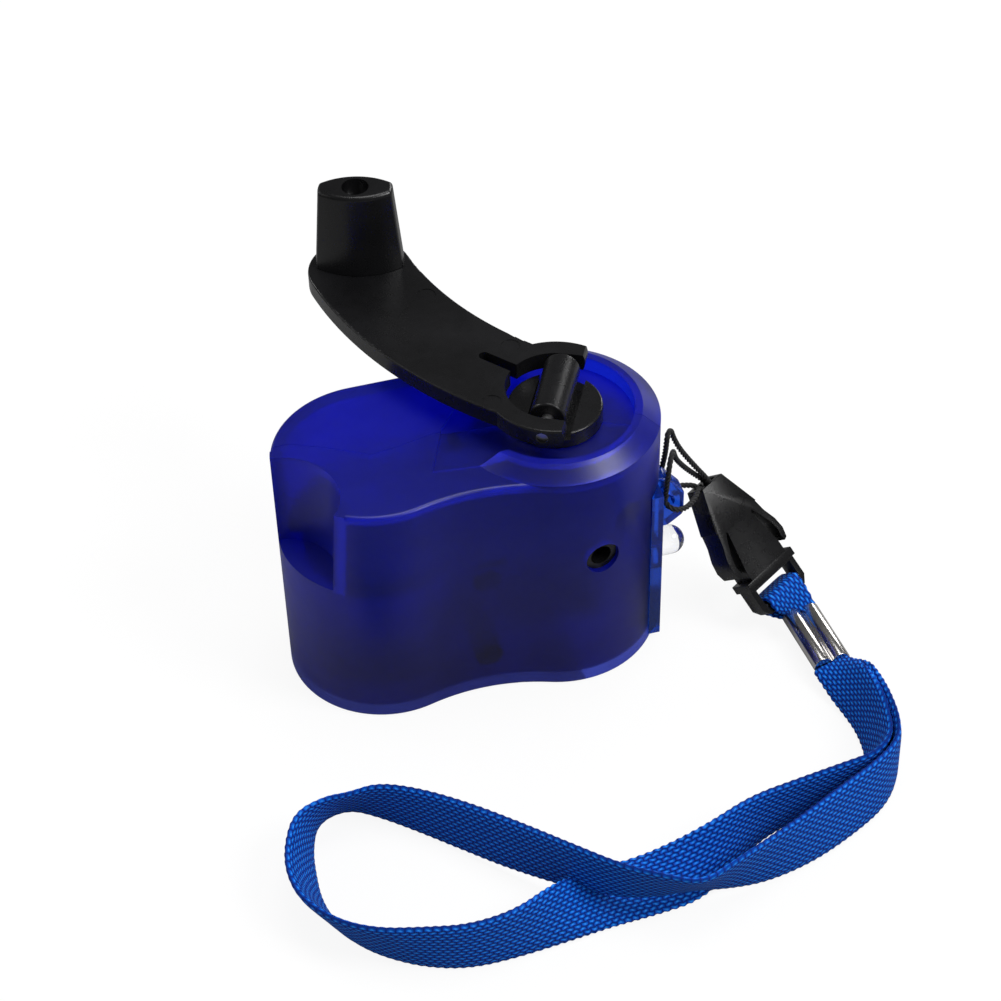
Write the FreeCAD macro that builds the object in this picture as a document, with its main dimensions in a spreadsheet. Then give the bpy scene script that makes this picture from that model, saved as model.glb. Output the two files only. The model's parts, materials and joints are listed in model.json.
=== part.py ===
import FreeCAD, Part
import Sketcher
import math
import os
import re

from FreeCAD import Placement, Rotation, Vector

# Hand crank phone charger.  Millimetres, +Z up.  The origin is where the crank's axis meets the surface
# that the charger stands on; +X points at the end panel and its lanyard, -Y at the concave front.

doc = FreeCAD.newDocument("hand_crank_phone_charger")

# ---------------------------------------------------------------- driving dimensions
SIZES = {
    # housing outline: two round lobes, a straight back and a hollow front
    "crank_lobe": 17.0, "knob_lobe": 16.2, "lobe_spacing": 30.3, "lobe_offset": 0.5, "front_hollow": 34.0,
    "top_level": 45.2, "wall": 1.8, "floor_wall": 1.8, "base_round": 0.6, "top_round": 0.8,
    # how the two shells part: a slant to the right of the crank, a wavy line to the left
    "parting_slant": 26.5, "parting_step": 5.5, "parting_gap": 0.1,
    # raised ring round the hub, its opening and the recess beside it
    "ring_level": 47.3, "ring_outer": 14.1, "ring_inner": 12.85, "ring_gap_half": 8.1,
    "well_level": 44.7, "lid_wall": 1.8, "recess_length": 22.4,
    # the pocket that takes the folded knob
    "pocket_across": 9.3, "pocket_deep": 8.0, "pocket_floor": 28.5, "pocket_draft": 1.25,
    "pocket_wall": 1.6, "pocket_heading": 206.7, "pocket_aside": 0.7,
    # ledges, rail, seats and bearings inside the shells
    "ledge_length": 14.0, "ledge_wide": 5.0, "rail_length": 16.0, "rail_tall": 3.0, "seat_radius": 1.5,
    "bearing_wall": 1.4,
    # end panel and its lug
    "panel_inner": 13.1, "panel_thick": 2.0, "panel_width": 22.2, "panel_low": 1.5, "panel_high": 33.0,
    "lug_side": -4.5, "lug_thick": 3.5, "lug_low": 21.4, "lug_tall": 10.8, "lug_reach": 5.3,
    "lug_bevel": 2.1, "lug_top_bevel": 3.9, "lug_hole": 1.5, "lug_hole_level": 27.0, "lug_hole_out": 2.1,
    "lug_corner": 1.2, "lug_round": 0.45,
    # lamp, sockets
    "lamp_radius": 2.5, "lamp_level": 16.4, "lamp_length": 9.0, "lamp_flange": 2.9, "lamp_flange_thick": 1.0,
    "lamp_leg": 0.25, "lamp_leg_pitch": 2.54, "lamp_leg_reach": 5.0,
    "port_side": 4.4, "port_level": 17.0, "port_across": 5.7, "port_tall": 13.1, "port_deep": 14.0,
    "port_skin": 0.35, "port_tongue": 1.9, "port_setback": 2.6,
    "jack_bore": 2.9, "jack_level": 27.7, "jack_heading": -79.5, "jack_body": 3.6, "jack_deep": 8.0,
    "jack_socket": 1.8,
    # crank: hub, hinge, arm and knob
    "hub_radius": 7.7, "hub_level": 47.7, "hub_cover": 1.4, "hinge_level": 49.95, "hinge_heading": 62.8,
    "barrel_radius": 2.95, "barrel_half": 6.4, "trough_half": 3.8, "trough_depth": 1.3,
    "arm_thick": 3.0, "arm_centre_along": 63.6, "arm_centre_back": 15.4, "arm_inner": 57.8,
    "arm_outer": 75.3, "head_radius": 11.2, "head_bore": 8.05, "prong_reach": 3.4,
    "knuckle_radius": 2.4, "slot_width": 1.8, "slot_length": 5.6, "slot_turn": -22.4, "edge_round": 0.35, "end_turn": 1.5,
    "knob_along": 25.8, "knob_out": 38.4, "knob_turn": -16.0, "knob_tall": 15.35,
    "knob_half_long": 7.5, "knob_half_wide": 4.3, "knob_taper_long": 1.3, "knob_taper_wide": 0.95,
    "knob_side": 10.7, "knob_hole": 2.25, "knob_hole_deep": 5.0,
    "pin_radius": 1.0, "screw_radius": 1.6, "screw_head": 2.05, "screw_head_tall": 1.6,
    # gear train
    "gear_module": 0.6, "crank_teeth": 46, "idler_pinion_teeth": 10, "idler_wheel_teeth": 36,
    "rotor_teeth": 10, "gear_face": 3.0, "gear_gap": 0.3, "upper_gear_level": 36.0,
    "lower_gear_level": 31.2, "shaft_radius": 2.0, "axle_radius": 1.0, "plate_level": 28.9,
    "plate_thick": 1.6, "bush_wall": 1.2, "bush_flange": 2.2, "bush_flange_thick": 1.0,
    # generator
    "can_radius": 12.0, "can_wall": 1.0, "can_level": 5.0, "can_tall": 20.0, "cover_thick": 1.2,
    "coil_inner": 6.9, "magnet_radius": 6.3, "magnet_tall": 14.0,
    "magnet_level": 7.4, "lead_radius": 0.45, "lead_aside": 0.9, "lead_out": 1.4, "lead_inset": 1.7,
    "lead_drop": 4.2, "lead_high": 19.0, "lead_low": 15.0, "lead_high_sag": 2.9, "lead_low_sag": 3.4,
    # circuit board and what stands on it
    "board_thick": 1.6, "board_face": 1.3, "board_low": 2.6, "board_high": 28.2, "board_length": 24.4,
    "diode_radius": 1.0, "diode_length": 4.2, "diode_pitch": 2.6, "capacitor_radius": 3.1,
    "capacitor_length": 9.0, "inductor_radius": 3.0, "inductor_length": 3.6, "chip_length": 5.0,
    "chip_tall": 4.0, "chip_thick": 1.4, "chip_level": 8.0, "capacitor_level": 11.0,
    "inductor_level": 20.0,
    # housing screws
    "case_screw": 1.1, "case_screw_head": 2.1, "case_screw_length": 20.0, "case_screw_point": 0.8,
    "boss_radius": 2.35, "counterbore_face": 12.4,
    # buckle: socket with two levers, and plug with a collar and a frame
    "buckle_thick": 5.0, "buckle_neck": 2.4, "buckle_shoulder": 5.05, "shoulder_at": 7.4,
    "core_waist": 3.0, "core_foot": 4.3, "lever_bulge": 6.5, "lever_thick": 1.05, "lever_end": 16.2,
    "collar_at": 17.7, "collar_thick": 1.5, "collar_half": 5.6, "frame_half": 5.4, "frame_thick": 3.4,
    "buckle_end": 24.6, "frame_slot_at": 19.7, "frame_slot_half": 4.3, "frame_bar": 2.0,
    "tongue_half": 2.6, "tongue_thick": 2.0, "tongue_reach": 6.8, "mouth_deep": 4.0, "mouth_half": 1.8,
    # strings, webbing and ferrule
    "string_radius": 0.5, "stub_half": 3.9, "stub_thick": 0.9, "tube_radius": 1.65, "ferrule_length": 12.6,
    "strap_width": 10.0, "strap_thick": 1.2, "strap_step": 2.2, "ground_gap": 0.2,
    # clearances
    "running": 0.06, "easy": 0.2, "seat": 0.1,
}

sheet = doc.addObject("Spreadsheet::Sheet", "Sizes")
for line, (alias, value) in enumerate(SIZES.items(), start=1):
    sheet.set(f"A{line}", alias)
    sheet.set(f"B{line}", str(value))
    sheet.setAlias(f"B{line}", alias)
doc.recompute()

Z = Vector(0, 0, 1)
nodes = []


def size(alias):
    """One driving dimension as a number."""
    return float(sheet.get(alias))


def linked(text):
    """An expression in which each driving dimension's word points at the sheet."""
    return re.sub(r"[a-z_]+", lambda m: "Sizes." + m.group() if m.group() in SIZES else m.group(), str(text))


def bind(thing, **properties):
    for name, text in properties.items():
        thing.setExpression(name, linked(text))
    return thing


def place(thing, at=(0, 0, 0), turn=None):
    """Turns a thing and ties its position to the sheet."""
    thing.Placement = Placement(Vector(), turn or Rotation())
    for axis, text in zip("xyz", at):
        thing.setExpression(f".Placement.Base.{axis}", linked(text))
    return thing


def heading(degrees):
    return Rotation(Z, degrees)


ALONG_X = Rotation(Vector(0, 1, 0), 90)
ALONG_Y = Rotation(Vector(1, 0, 0), -90)
AGAINST_Y = Rotation(Vector(1, 0, 0), 90)


# ---------------------------------------------------------------- shapes bound to the sheet
def box(name, length, width, height, at, turn=None):
    solid = doc.addObject("Part::Box", name)
    bind(solid, Length=length, Width=width, Height=height)
    return place(solid, at, turn)


def cylinder(name, radius, height, at=(0, 0, 0), turn=None, angle=360):
    solid = doc.addObject("Part::Cylinder", name)
    bind(solid, Radius=radius, Height=height, Angle=angle)
    return place(solid, at, turn)


def cone(name, low, high, height, at=(0, 0, 0), turn=None):
    solid = doc.addObject("Part::Cone", name)
    bind(solid, Radius1=low, Radius2=high, Height=height)
    return place(solid, at, turn)


def fuse(name, *shapes):
    result = doc.addObject("Part::MultiFuse", name)
    result.Shapes = list(shapes)
    result.Refine = True
    return result


def cut(name, base, tool):
    result = doc.addObject("Part::Cut", name)
    result.Base = base
    result.Tool = tool
    return result


def common(name, first, second):
    result = doc.addObject("Part::MultiCommon", name)
    result.Shapes = [first, second]
    return result


def compound(name, shapes):
    result = doc.addObject("Part::Compound", name)
    result.Links = list(shapes)
    return result


def fillet(name, base, radius, wanted):
    """Rounds the edges of the base for which wanted(edge) is true."""
    doc.recompute()
    rounded = doc.addObject("Part::Fillet", name)
    rounded.Base = base
    edges = [i for i, edge in enumerate(base.Shape.Edges, start=1) if wanted(edge)]
    rounded.Edges = [(i, size(radius), size(radius)) for i in edges]
    return rounded


def extrude(name, sketch, height):
    solid = doc.addObject("Part::Extrusion", name)
    solid.Base = sketch
    solid.DirMode = "Normal"
    solid.Solid = True
    bind(solid, LengthFwd=height)
    return solid


def feature(name, shape, placement=None):
    """A shape that Part's own functions made."""
    solid = doc.addObject("Part::Feature", name)
    solid.Shape = shape
    solid.Placement = placement or Placement()
    return solid


def node(label, thing):
    thing.Label = label
    nodes.append(thing)
    return thing


# ---------------------------------------------------------------- sketches
def value_of(text):
    """The number that an expression on the sheet gives."""
    return float(sheet.evalExpression(linked(text)))


def polygon(sketch, corners):
    """A closed outline whose corners are tied to the sheet."""
    points = [Vector(value_of(x), value_of(y), 0) for x, y in corners]
    count = len(points)
    for i in range(count):
        sketch.addGeometry(Part.LineSegment(points[i], points[(i + 1) % count]), False)
    for i in range(count):
        sketch.addConstraint(Sketcher.Constraint("Coincident", i, 2, (i + 1) % count, 1))
    for i, corner in enumerate(corners):
        for kind, text, number in zip(("DistanceX", "DistanceY"), corner, points[i]):
            row = sketch.addConstraint(Sketcher.Constraint(kind, -1, 1, i, 1, number))
            sketch.setExpression(f"Constraints[{row}]", linked(text))
    return sketch


def plate_sketch(name, corners, level=0):
    """A polygon on a level plane."""
    sketch = doc.addObject("Sketcher::SketchObject", name)
    place(sketch, (0, 0, level))
    return polygon(sketch, corners)


def body_sketch(body, name, role):
    sketch = body.newObject("Sketcher::SketchObject", name)
    plane = next(f for f in body.Origin.OriginFeatures if f.Role == role)
    sketch.AttachmentSupport = [(plane, "")]
    sketch.MapMode = "FlatFace"
    return sketch


def turned(name, profile, at=(0, 0, 0), turn=None):
    """A PartDesign body: a profile of (radius, level) corners turned about its own Z axis."""
    body = doc.addObject("PartDesign::Body", name)
    sketch = body_sketch(body, name + "_profile", "XZ_Plane")
    polygon(sketch, profile)
    spin = body.newObject("PartDesign::Revolution", name + "_turned")
    spin.Profile = sketch
    spin.ReferenceAxis = (sketch, ["V_Axis"])
    spin.Angle = 360.0
    body.Tip = spin
    return place(body, at, turn)


def pressed(name, corners, thickness, at=(0, 0, 0), turn=None, role="XY_Plane"):
    """A PartDesign body: a flat outline padded to its thickness."""
    body = doc.addObject("PartDesign::Body", name)
    sketch = body_sketch(body, name + "_outline", role)
    polygon(sketch, corners)
    pad = body.newObject("PartDesign::Pad", name + "_pad")
    pad.Profile = sketch
    bind(pad, Length=thickness)
    body.Tip = pad
    return place(body, at, turn)


def outline(name, inset, level=0):
    """The housing's plan: two lobes, the straight back and the hollow front, all moved in by inset."""
    near = value_of(f"crank_lobe - ({inset})")
    far = value_of(f"knob_lobe - ({inset})")
    hollow = value_of(f"front_hollow + ({inset})")
    far_centre = Vector(-size("lobe_spacing"), size("lobe_offset"), 0)
    gap = far_centre.Length
    along = far_centre / gap
    across = Vector(along.y, -along.x, 0)
    # centre of the front hollow, from its distances to both lobe centres
    reach = ((near + hollow) ** 2 - (far + hollow) ** 2 + gap ** 2) / (2 * gap)
    drop = math.sqrt((near + hollow) ** 2 - reach ** 2)
    hollow_centre = along * reach - across * drop
    # direction from each lobe centre to where the back touches it
    lean = (near - far) / gap
    back = along * lean + across * math.sqrt(1 - lean ** 2)
    front_near = hollow_centre * (near / hollow_centre.Length)
    front_far = far_centre + (hollow_centre - far_centre) * (far / (hollow_centre - far_centre).Length)

    def angle(centre, point):
        return math.atan2(point.y - centre.y, point.x - centre.x)

    def arc(centre, radius, start, end):
        circle = Part.Circle(centre, Z, radius)
        return Part.ArcOfCircle(circle, angle(centre, start), angle(centre, end))

    sketch = doc.addObject("Sketcher::SketchObject", name)
    place(sketch, (0, 0, level))
    back_near = back * near
    back_far = far_centre + back * far
    origin = Vector()
    sketch.addGeometry(arc(origin, near, front_near, back_near), False)
    sketch.addGeometry(Part.LineSegment(back_near, back_far), False)
    sketch.addGeometry(arc(far_centre, far, back_far, front_far), False)
    sketch.addGeometry(arc(hollow_centre, hollow, front_near, front_far), False)
    sketch.addConstraint(Sketcher.Constraint("Coincident", 0, 3, -1, 1))
    for first, end, second, start in ((0, 2, 1, 1), (1, 2, 2, 1), (2, 2, 3, 2), (3, 1, 0, 1)):
        sketch.addConstraint(Sketcher.Constraint("Tangent", first, end, second, start))
    driven = (
        (Sketcher.Constraint("DistanceX", -1, 1, 2, 3, far_centre.x), "-lobe_spacing"),
        (Sketcher.Constraint("DistanceY", -1, 1, 2, 3, far_centre.y), "lobe_offset"),
        (Sketcher.Constraint("Radius", 0, near), f"crank_lobe - ({inset})"),
        (Sketcher.Constraint("Radius", 2, far), f"knob_lobe - ({inset})"),
        (Sketcher.Constraint("Radius", 3, hollow), f"front_hollow + ({inset})"),
    )
    for constraint, text in driven:
        row = sketch.addConstraint(constraint)
        sketch.setExpression(f"Constraints[{row}]", linked(text))
    return sketch


# ---------------------------------------------------------------- housing: two shells from one hollow form
LID = "(well_level - lid_wall)"
PANEL_FACE = "(panel_inner + panel_thick)"
ROTOR_X = "(-(crank_teeth + idler_pinion_teeth + idler_wheel_teeth + rotor_teeth) * gear_module / 2)"
IDLER_X = "(-(crank_teeth + idler_pinion_teeth) * gear_module / 2)"
GEAR_TOP = "(upper_gear_level + gear_face)"
# the bush's flange stands between the crank gear and the bearing under the lid
BEARING_LOW = f"({GEAR_TOP} + 2 * gear_gap + bush_flange_thick)"
AXLE_BEARING_LOW = f"({BEARING_LOW} - easy)"
# each screw: its word, its place along x and its level
CASE_SCREWS = (("low", -15.4, 7.0), ("mid", -15.4, 24.4), ("high", 7.6, 33.4))
# each ledge under the gear plate: its left and near corner
PLATE_LEDGES = ((-17.0, 9.6), (-17.0, -24.0), (6.0, 10.0), (-40.0, 9.0))


def ellipse_loft(name, sections):
    """A tapered pocket form: (half across, half deep, level) for each section, on the pocket's axis."""
    rings = []
    for i, (across, deep, level) in enumerate(sections):
        ring = doc.addObject("Part::Ellipse", f"{name}_{i}")
        bind(ring, MajorRadius=across, MinorRadius=deep)
        turn = heading(size("pocket_heading") - 90)
        rings.append(place(ring, (POCKET_X, POCKET_Y, level), turn))
    loft = doc.addObject("Part::Loft", name)
    loft.Sections = rings
    loft.Solid = True
    loft.Ruled = True
    return loft


# where the knob hangs when the arm is folded and the crank is turned half a turn
KNOB_COS = "(knob_along * cos(hinge_heading * 1 deg) + knob_out * sin(hinge_heading * 1 deg))"
KNOB_SIN = "(knob_along * sin(hinge_heading * 1 deg) - knob_out * cos(hinge_heading * 1 deg))"
STORED_X = f"(-{KNOB_COS})"
STORED_Y = f"(-{KNOB_SIN})"
POCKET_X = f"({STORED_X} - pocket_aside * sin(pocket_heading * 1 deg))"
POCKET_Y = f"({STORED_Y} + pocket_aside * cos(pocket_heading * 1 deg))"
POCKET_SLOPE = "(pocket_draft / (top_level - pocket_floor))"


def pocket_section(extra, level):
    grow = f"(({level}) - top_level) * {POCKET_SLOPE} + ({extra})"
    return f"pocket_across + {grow}", f"pocket_deep + {grow}", level


def shell_form():
    """The hollow housing before it is parted."""
    block = extrude("housing_block", outline("housing_plan", 0), "top_level")

    def on_base(edge):
        return edge.BoundBox.ZMax < 0.01

    def on_top(edge):
        return edge.BoundBox.ZMin > size("top_level") - 0.01

    soft = fillet("housing_base_round", block, "base_round", on_base)
    soft = fillet("housing_top_round", soft, "top_round", on_top)
    collar = cylinder("ring_collar", "crank_lobe", "2 * top_round", (0, 0, "top_level - 2 * top_round"))
    ring = cone("ring_slope", "crank_lobe", "ring_outer", "ring_level - top_level", (0, 0, "top_level"))
    outer = fuse("housing_outer", soft, collar, ring)
    hollow = extrude("housing_hollow", outline("hollow_plan", "wall", "floor_wall"), f"{LID} - floor_wall")
    return block, cut("housing_shell", outer, hollow)


def inner_ribs(block):
    """What stands inside the shells: pocket walls, bosses, ledges, rails, seats and the lid's bearings."""
    parts = []
    skin = ellipse_loft("pocket_skin", [
        pocket_section("pocket_wall", "pocket_floor - pocket_wall"),
        pocket_section("pocket_wall", "top_level"),
    ])
    parts.append(skin)
    for word, across, level in CASE_SCREWS:
        parts.append(cylinder(f"boss_{word}", "boss_radius", "4 * crank_lobe",
                              (across, "-2 * crank_lobe", level), ALONG_Y))
    for i, (across, along) in enumerate(PLATE_LEDGES):
        parts.append(box(f"plate_ledge_{i}", "ledge_wide", "ledge_length", "plate_thick",
                         (across, along, "plate_level - plate_thick")))
    parts.append(box("board_rail", "rail_length", "board_thick + 4", "rail_tall",
                     ("panel_inner - board_length + 2.3", "board_face - board_thick - 2", "floor_wall")))
    for i in range(3):
        turn = f"({60 + 120 * i} * 1 deg)"
        reach = "(can_radius - 2 * seat_radius)"
        parts.append(cylinder(f"can_seat_{i}", "seat_radius", "can_level",
                              (f"{ROTOR_X} + {reach} * cos({turn})", f"{reach} * sin({turn})", 0)))
    parts.append(cylinder("lid_bearing", "shaft_radius + bush_wall + bearing_wall", f"{LID} - {BEARING_LOW}",
                          (0, 0, BEARING_LOW)))
    parts.append(cylinder("axle_bearing", "axle_radius + bearing_wall", f"{LID} - {AXLE_BEARING_LOW}",
                          (IDLER_X, 0, AXLE_BEARING_LOW)))
    return common("housing_ribs", fuse("ribs", *parts), block)


def housing_cutters():
    """Everything that is taken out of the hollow form."""
    tools = []
    tools.append(ellipse_loft("pocket_space", [
        pocket_section(0, "pocket_floor"),
        pocket_section(0, "top_level + 2"),
    ]))
    tools.append(cylinder("ring_well", "ring_inner", 10, (0, 0, "well_level")))
    tools.append(box("ring_opening", "crank_lobe + 1", "2 * ring_gap_half", 10,
                     ("-crank_lobe - 1", "-ring_gap_half", "top_level")))
    recess = plate_sketch("recess_plan", (
        ("-ring_inner + 2.5", "-ring_gap_half"), ("-ring_inner - 1.2", "-ring_gap_half - 0.2"),
        ("-recess_length", "-ring_gap_half + 0.7"), ("-recess_length + 3.9", 2.0),
        ("-recess_length + 6.6", 5.5), ("-ring_inner - 1", "ring_gap_half"),
        ("-ring_inner + 2.5", "ring_gap_half"),
    ), "well_level")
    tools.append(extrude("recess_space", recess, 3))
    tools.append(box("panel_space", 10, "3 * crank_lobe", "panel_high - panel_low",
                     ("panel_inner", "-1.5 * crank_lobe", "panel_low")))
    tools.append(cylinder("jack_hole", "jack_bore", "crank_lobe",
                          (0, 0, "jack_level"), heading(size("jack_heading")) * ALONG_X))
    tools.append(cylinder("lid_hole", "shaft_radius + bush_wall", "crank_lobe", (0, 0, "upper_gear_level")))
    tools.append(cylinder("axle_hole", "axle_radius", f"{LID} - upper_gear_level",
                          (IDLER_X, 0, "upper_gear_level")))
    tools.append(box("board_slot", "2 * board_length", "board_thick", "2 * rail_tall",
                     ("panel_inner - 1.5 * board_length", "board_face - board_thick", "board_low")))
    for word, across, level in CASE_SCREWS:
        tools.append(cylinder(f"pilot_{word}", "case_screw", "counterbore_face + 10",
                              (across, "counterbore_face - case_screw_length", level), ALONG_Y))
        tools.append(cylinder(f"passage_{word}", "case_screw + easy", "2 * crank_lobe",
                              (across, 0, level), ALONG_Y))
        tools.append(cylinder(f"counterbore_{word}", "case_screw_head + easy", "crank_lobe",
                              (across, "counterbore_face", level), ALONG_Y))
    return fuse("housing_spaces", *tools)


def front_half(word):
    """The space in front of the parting line: a slant from the crank's axis to the right, a wavy left."""
    far = "(4 * crank_lobe)"
    corners = (
        (0, 0), (far, f"-{far} * tan(parting_slant * 1 deg)"), (far, f"-{far}"), (f"-{far}", f"-{far}"),
        (f"-{far}", "parting_step"), ("-lobe_spacing - 12.3", "parting_step"),
        ("-lobe_spacing - 6.1", "parting_step - 3"), ("-lobe_spacing - 0.3", "parting_step - 6.3"),
        ("-lobe_spacing + 4.6", 0), ("-lobe_spacing + 10.3", "parting_step - 4.2"),
    )
    return extrude(f"{word}_space", plate_sketch(f"{word}_plan", corners, "-wall"), "2 * ring_level")


block, hollow_form = shell_form()
ribs = inner_ribs(block)
parted = cut("housing_opened", fuse("housing_ribbed", hollow_form, ribs), housing_cutters())
node("front_shell", common("front_shell", parted, front_half("front")))
node("rear_shell", cut("rear_shell", parted, place(front_half("parted"), (0, "parting_gap", 0))))


# ---------------------------------------------------------------- end panel
def end_panel():
    plate = box("panel_plate", "panel_thick", "panel_width", "panel_high - panel_low",
                ("panel_inner", "-panel_width / 2", "panel_low"))
    corner = "panel_inner + panel_thick"
    lug_high = "lug_low + lug_tall"
    sharp = pressed("lug_sharp", (
        (f"{corner} - 0.5", "lug_low"), (f"{corner} + lug_reach - lug_bevel - 0.6", "lug_low"),
        (f"{corner} + lug_reach", "lug_low + lug_bevel"),
        (f"{corner} + lug_reach", f"{lug_high} - lug_top_bevel"),
        (f"{corner} + lug_hole_out", lug_high), (f"{corner} - 0.5", lug_high),
    ), "lug_thick", (0, "lug_side + lug_thick / 2", 0), role="XZ_Plane")

    def off_the_plate(edge):
        return edge.BoundBox.XMin > value_of(corner) - 0.4

    def on_corner(edge):
        return off_the_plate(edge) and edge.BoundBox.XLength < 0.01 and edge.BoundBox.ZLength < 0.01

    def on_rim(edge):
        return edge.BoundBox.XMax > value_of(corner) and edge.BoundBox.YLength < 0.01

    lug = fillet("lug", fillet("lug_outline", sharp, "lug_corner", on_corner), "lug_round", on_rim)
    eye = cylinder("lug_eye", "lug_hole", "3 * lug_thick",
                   (f"{corner} + lug_hole_out", "lug_side - 1.5 * lug_thick", "lug_hole_level"), ALONG_Y)
    lamp_hole = cylinder("lamp_hole", "lamp_radius + seat", "3 * panel_thick",
                         ("panel_inner - panel_thick", "lug_side", "lamp_level"), ALONG_X)
    mouth = box("port_mouth", "3 * panel_thick", "port_across + 2 * seat", "port_tall + 2 * seat",
                ("panel_inner - panel_thick", "port_side - port_across / 2 - seat",
                 "port_level - port_tall / 2 - seat"))
    return cut("end_panel", fuse("panel_with_lug", plate, lug), fuse("panel_holes", eye, lamp_hole, mouth))


node("end_panel", end_panel())


# ---------------------------------------------------------------- lamp, board and sockets
def lamp():
    """Five millimetre lamp: flange behind the panel, dome outside it."""
    flange = cylinder("lamp_rim", "lamp_flange", "lamp_flange_thick")
    stem = cylinder("lamp_stem", "lamp_radius", "lamp_length - lamp_radius")
    dome = doc.addObject("Part::Sphere", "lamp_dome")
    bind(dome, Radius="lamp_radius")
    place(dome, (0, 0, "lamp_length - lamp_radius"))
    whole = fuse("led", flange, stem, dome)
    return place(whole, ("panel_inner - lamp_flange_thick", "lug_side", "lamp_level"), ALONG_X)


def lamp_legs():
    """Two wires from the lamp's back, bent round to the board's face."""
    legs = []
    back = size("panel_inner") - size("lamp_flange_thick")
    bend = back - size("lamp_leg_reach")
    for side in (-1, 1):
        level = size("lamp_level") + side * size("lamp_leg_pitch") / 2
        start = Vector(back, size("lug_side"), level)
        corner = Vector(bend, size("lug_side"), level)
        end = Vector(bend, size("board_face") - size("board_thick"), level)
        legs.append(tube([start, corner, end], size("lamp_leg"), "led leg"))
    return Part.makeCompound(legs)


PORT_BACK = f"({PANEL_FACE} - port_deep - seat)"


def usb_socket():
    """Folded metal shell, open at its mouth."""
    low = "port_level - port_tall / 2"
    near = "port_side - port_across / 2"
    can = box("port_shell", "port_deep", "port_across", "port_tall",
              (PORT_BACK, near, low))
    room = box("port_room", "port_deep", "port_across - 2 * port_skin", "port_tall - 2 * port_skin",
               (f"{PANEL_FACE} - port_deep + 1.2", f"{near} + port_skin", f"{low} + port_skin"))
    return cut("usb_socket", can, room)


def usb_tongue():
    return box("usb_tongue", "port_deep - 1.3 - port_setback", "port_tongue", "port_tall - 2 * port_skin - 0.6",
               (f"{PANEL_FACE} - port_deep + 1.2", "port_side - port_tongue / 2",
                "port_level - port_tall / 2 + port_skin + 0.3"))


def output_jack():
    """Round jack behind the wall's hole, with its socket bored into it."""
    inner = "crank_lobe - wall"
    shape = turned("output_jack", (
        ("jack_socket", f"{inner} - jack_deep + 1.5"), ("jack_socket", f"{inner} + 0.9"),
        ("jack_bore - seat", f"{inner} + 0.9"), ("jack_bore - seat", f"{inner} - 0.5"),
        ("jack_body", f"{inner} - 0.5"), ("jack_body", f"{inner} - jack_deep"),
        (0, f"{inner} - jack_deep"), (0, f"{inner} - jack_deep + 1.5"),
    ), (0, 0, "jack_level"), heading(size("jack_heading")) * ALONG_X)
    return shape


BOARD_MIDDLE = "(panel_inner - board_length / 2)"


def circuit_board():
    board = box("board_blank", "board_length", "board_thick", "board_high - board_low",
                ("panel_inner - 0.2 - board_length", "board_face - board_thick", "board_low"))
    # a bite out of the board's top edge, where the jack passes
    bite = box("jack_bite", "3 * jack_body", "4 * board_thick", "2 * jack_body",
               ("-jack_body - easy", "-board_thick", "jack_level - jack_body - 2 * easy"))
    return cut("circuit_board", board, bite)


def on_board_front(name, radius, length, across, level):
    """A can-shaped component whose axis stands off the board's front face."""
    return cylinder(name, radius, length, (across, "board_face - board_thick", level), AGAINST_Y)


def rectifier_diodes():
    diodes = []
    for i in range(4):
        diodes.append(cylinder(f"diode_{i}", "diode_radius", "diode_length", (
            f"{BOARD_MIDDLE} - 11.1 + diode_pitch * {i}", "board_face - board_thick - diode_radius",
            "board_low + 2.2")))
    return compound("rectifier_diodes", diodes)


# ---------------------------------------------------------------- cords
def tube_path(points, label):
    """Straight runs joined by tangent arcs, each as large as its two runs allow."""
    edges = []
    radii = []
    here = points[0]
    for before, corner, after in zip(points, points[1:], points[2:]):
        arriving = corner - before
        leaving = after - corner
        turn = arriving.getAngle(leaving)
        shorter = min(arriving.Length, leaving.Length)
        radius = 0.45 * shorter / math.tan(turn / 2)
        radii.append(round(radius, 1))
        tangent = 0.45 * shorter
        start = corner - arriving * (tangent / arriving.Length)
        end = corner + leaving * (tangent / leaving.Length)
        inward = leaving / leaving.Length - arriving / arriving.Length
        middle = corner + inward * ((radius / math.cos(turn / 2) - radius) / inward.Length)
        edges.append(Part.LineSegment(here, start).toShape())
        edges.append(Part.Arc(start, middle, end).toShape())
        here = end
    edges.append(Part.LineSegment(here, points[-1]).toShape())
    print(label, "bend radii", radii)
    return Part.Wire(edges)


def tube(points, radius, label):
    path = tube_path(points, label)
    heading_out = points[1] - points[0]
    mouth = Part.Face(Part.Wire(Part.Circle(points[0], heading_out, radius).toShape()))
    solid = path.makePipe(mouth)
    ideal = math.pi * radius ** 2 * path.Length
    print(label, "length", round(path.Length, 1), "volume over section x length", round(solid.Volume / ideal, 4))
    return solid


def vectors(rows):
    return [Vector(*row) for row in rows]


node("led", lamp())
node("led_leads", feature("led_leads", lamp_legs()))
node("usb_socket", usb_socket())
node("usb_tongue", usb_tongue())
node("output_jack", output_jack())
node("circuit_board", circuit_board())
node("rectifier_diodes", rectifier_diodes())
node("smoothing_capacitor", on_board_front("smoothing_capacitor", "capacitor_radius", "capacitor_length",
                                           f"{BOARD_MIDDLE} + 1.3", "capacitor_level"))
node("inductor", on_board_front("inductor", "inductor_radius", "inductor_length", f"{BOARD_MIDDLE} - 7.9",
                                "inductor_level"))
node("regulator_chip", box("regulator_chip", "chip_length", "chip_thick", "chip_tall",
                           (f"{PORT_BACK} - easy - chip_length", "board_face", "chip_level")))


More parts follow.
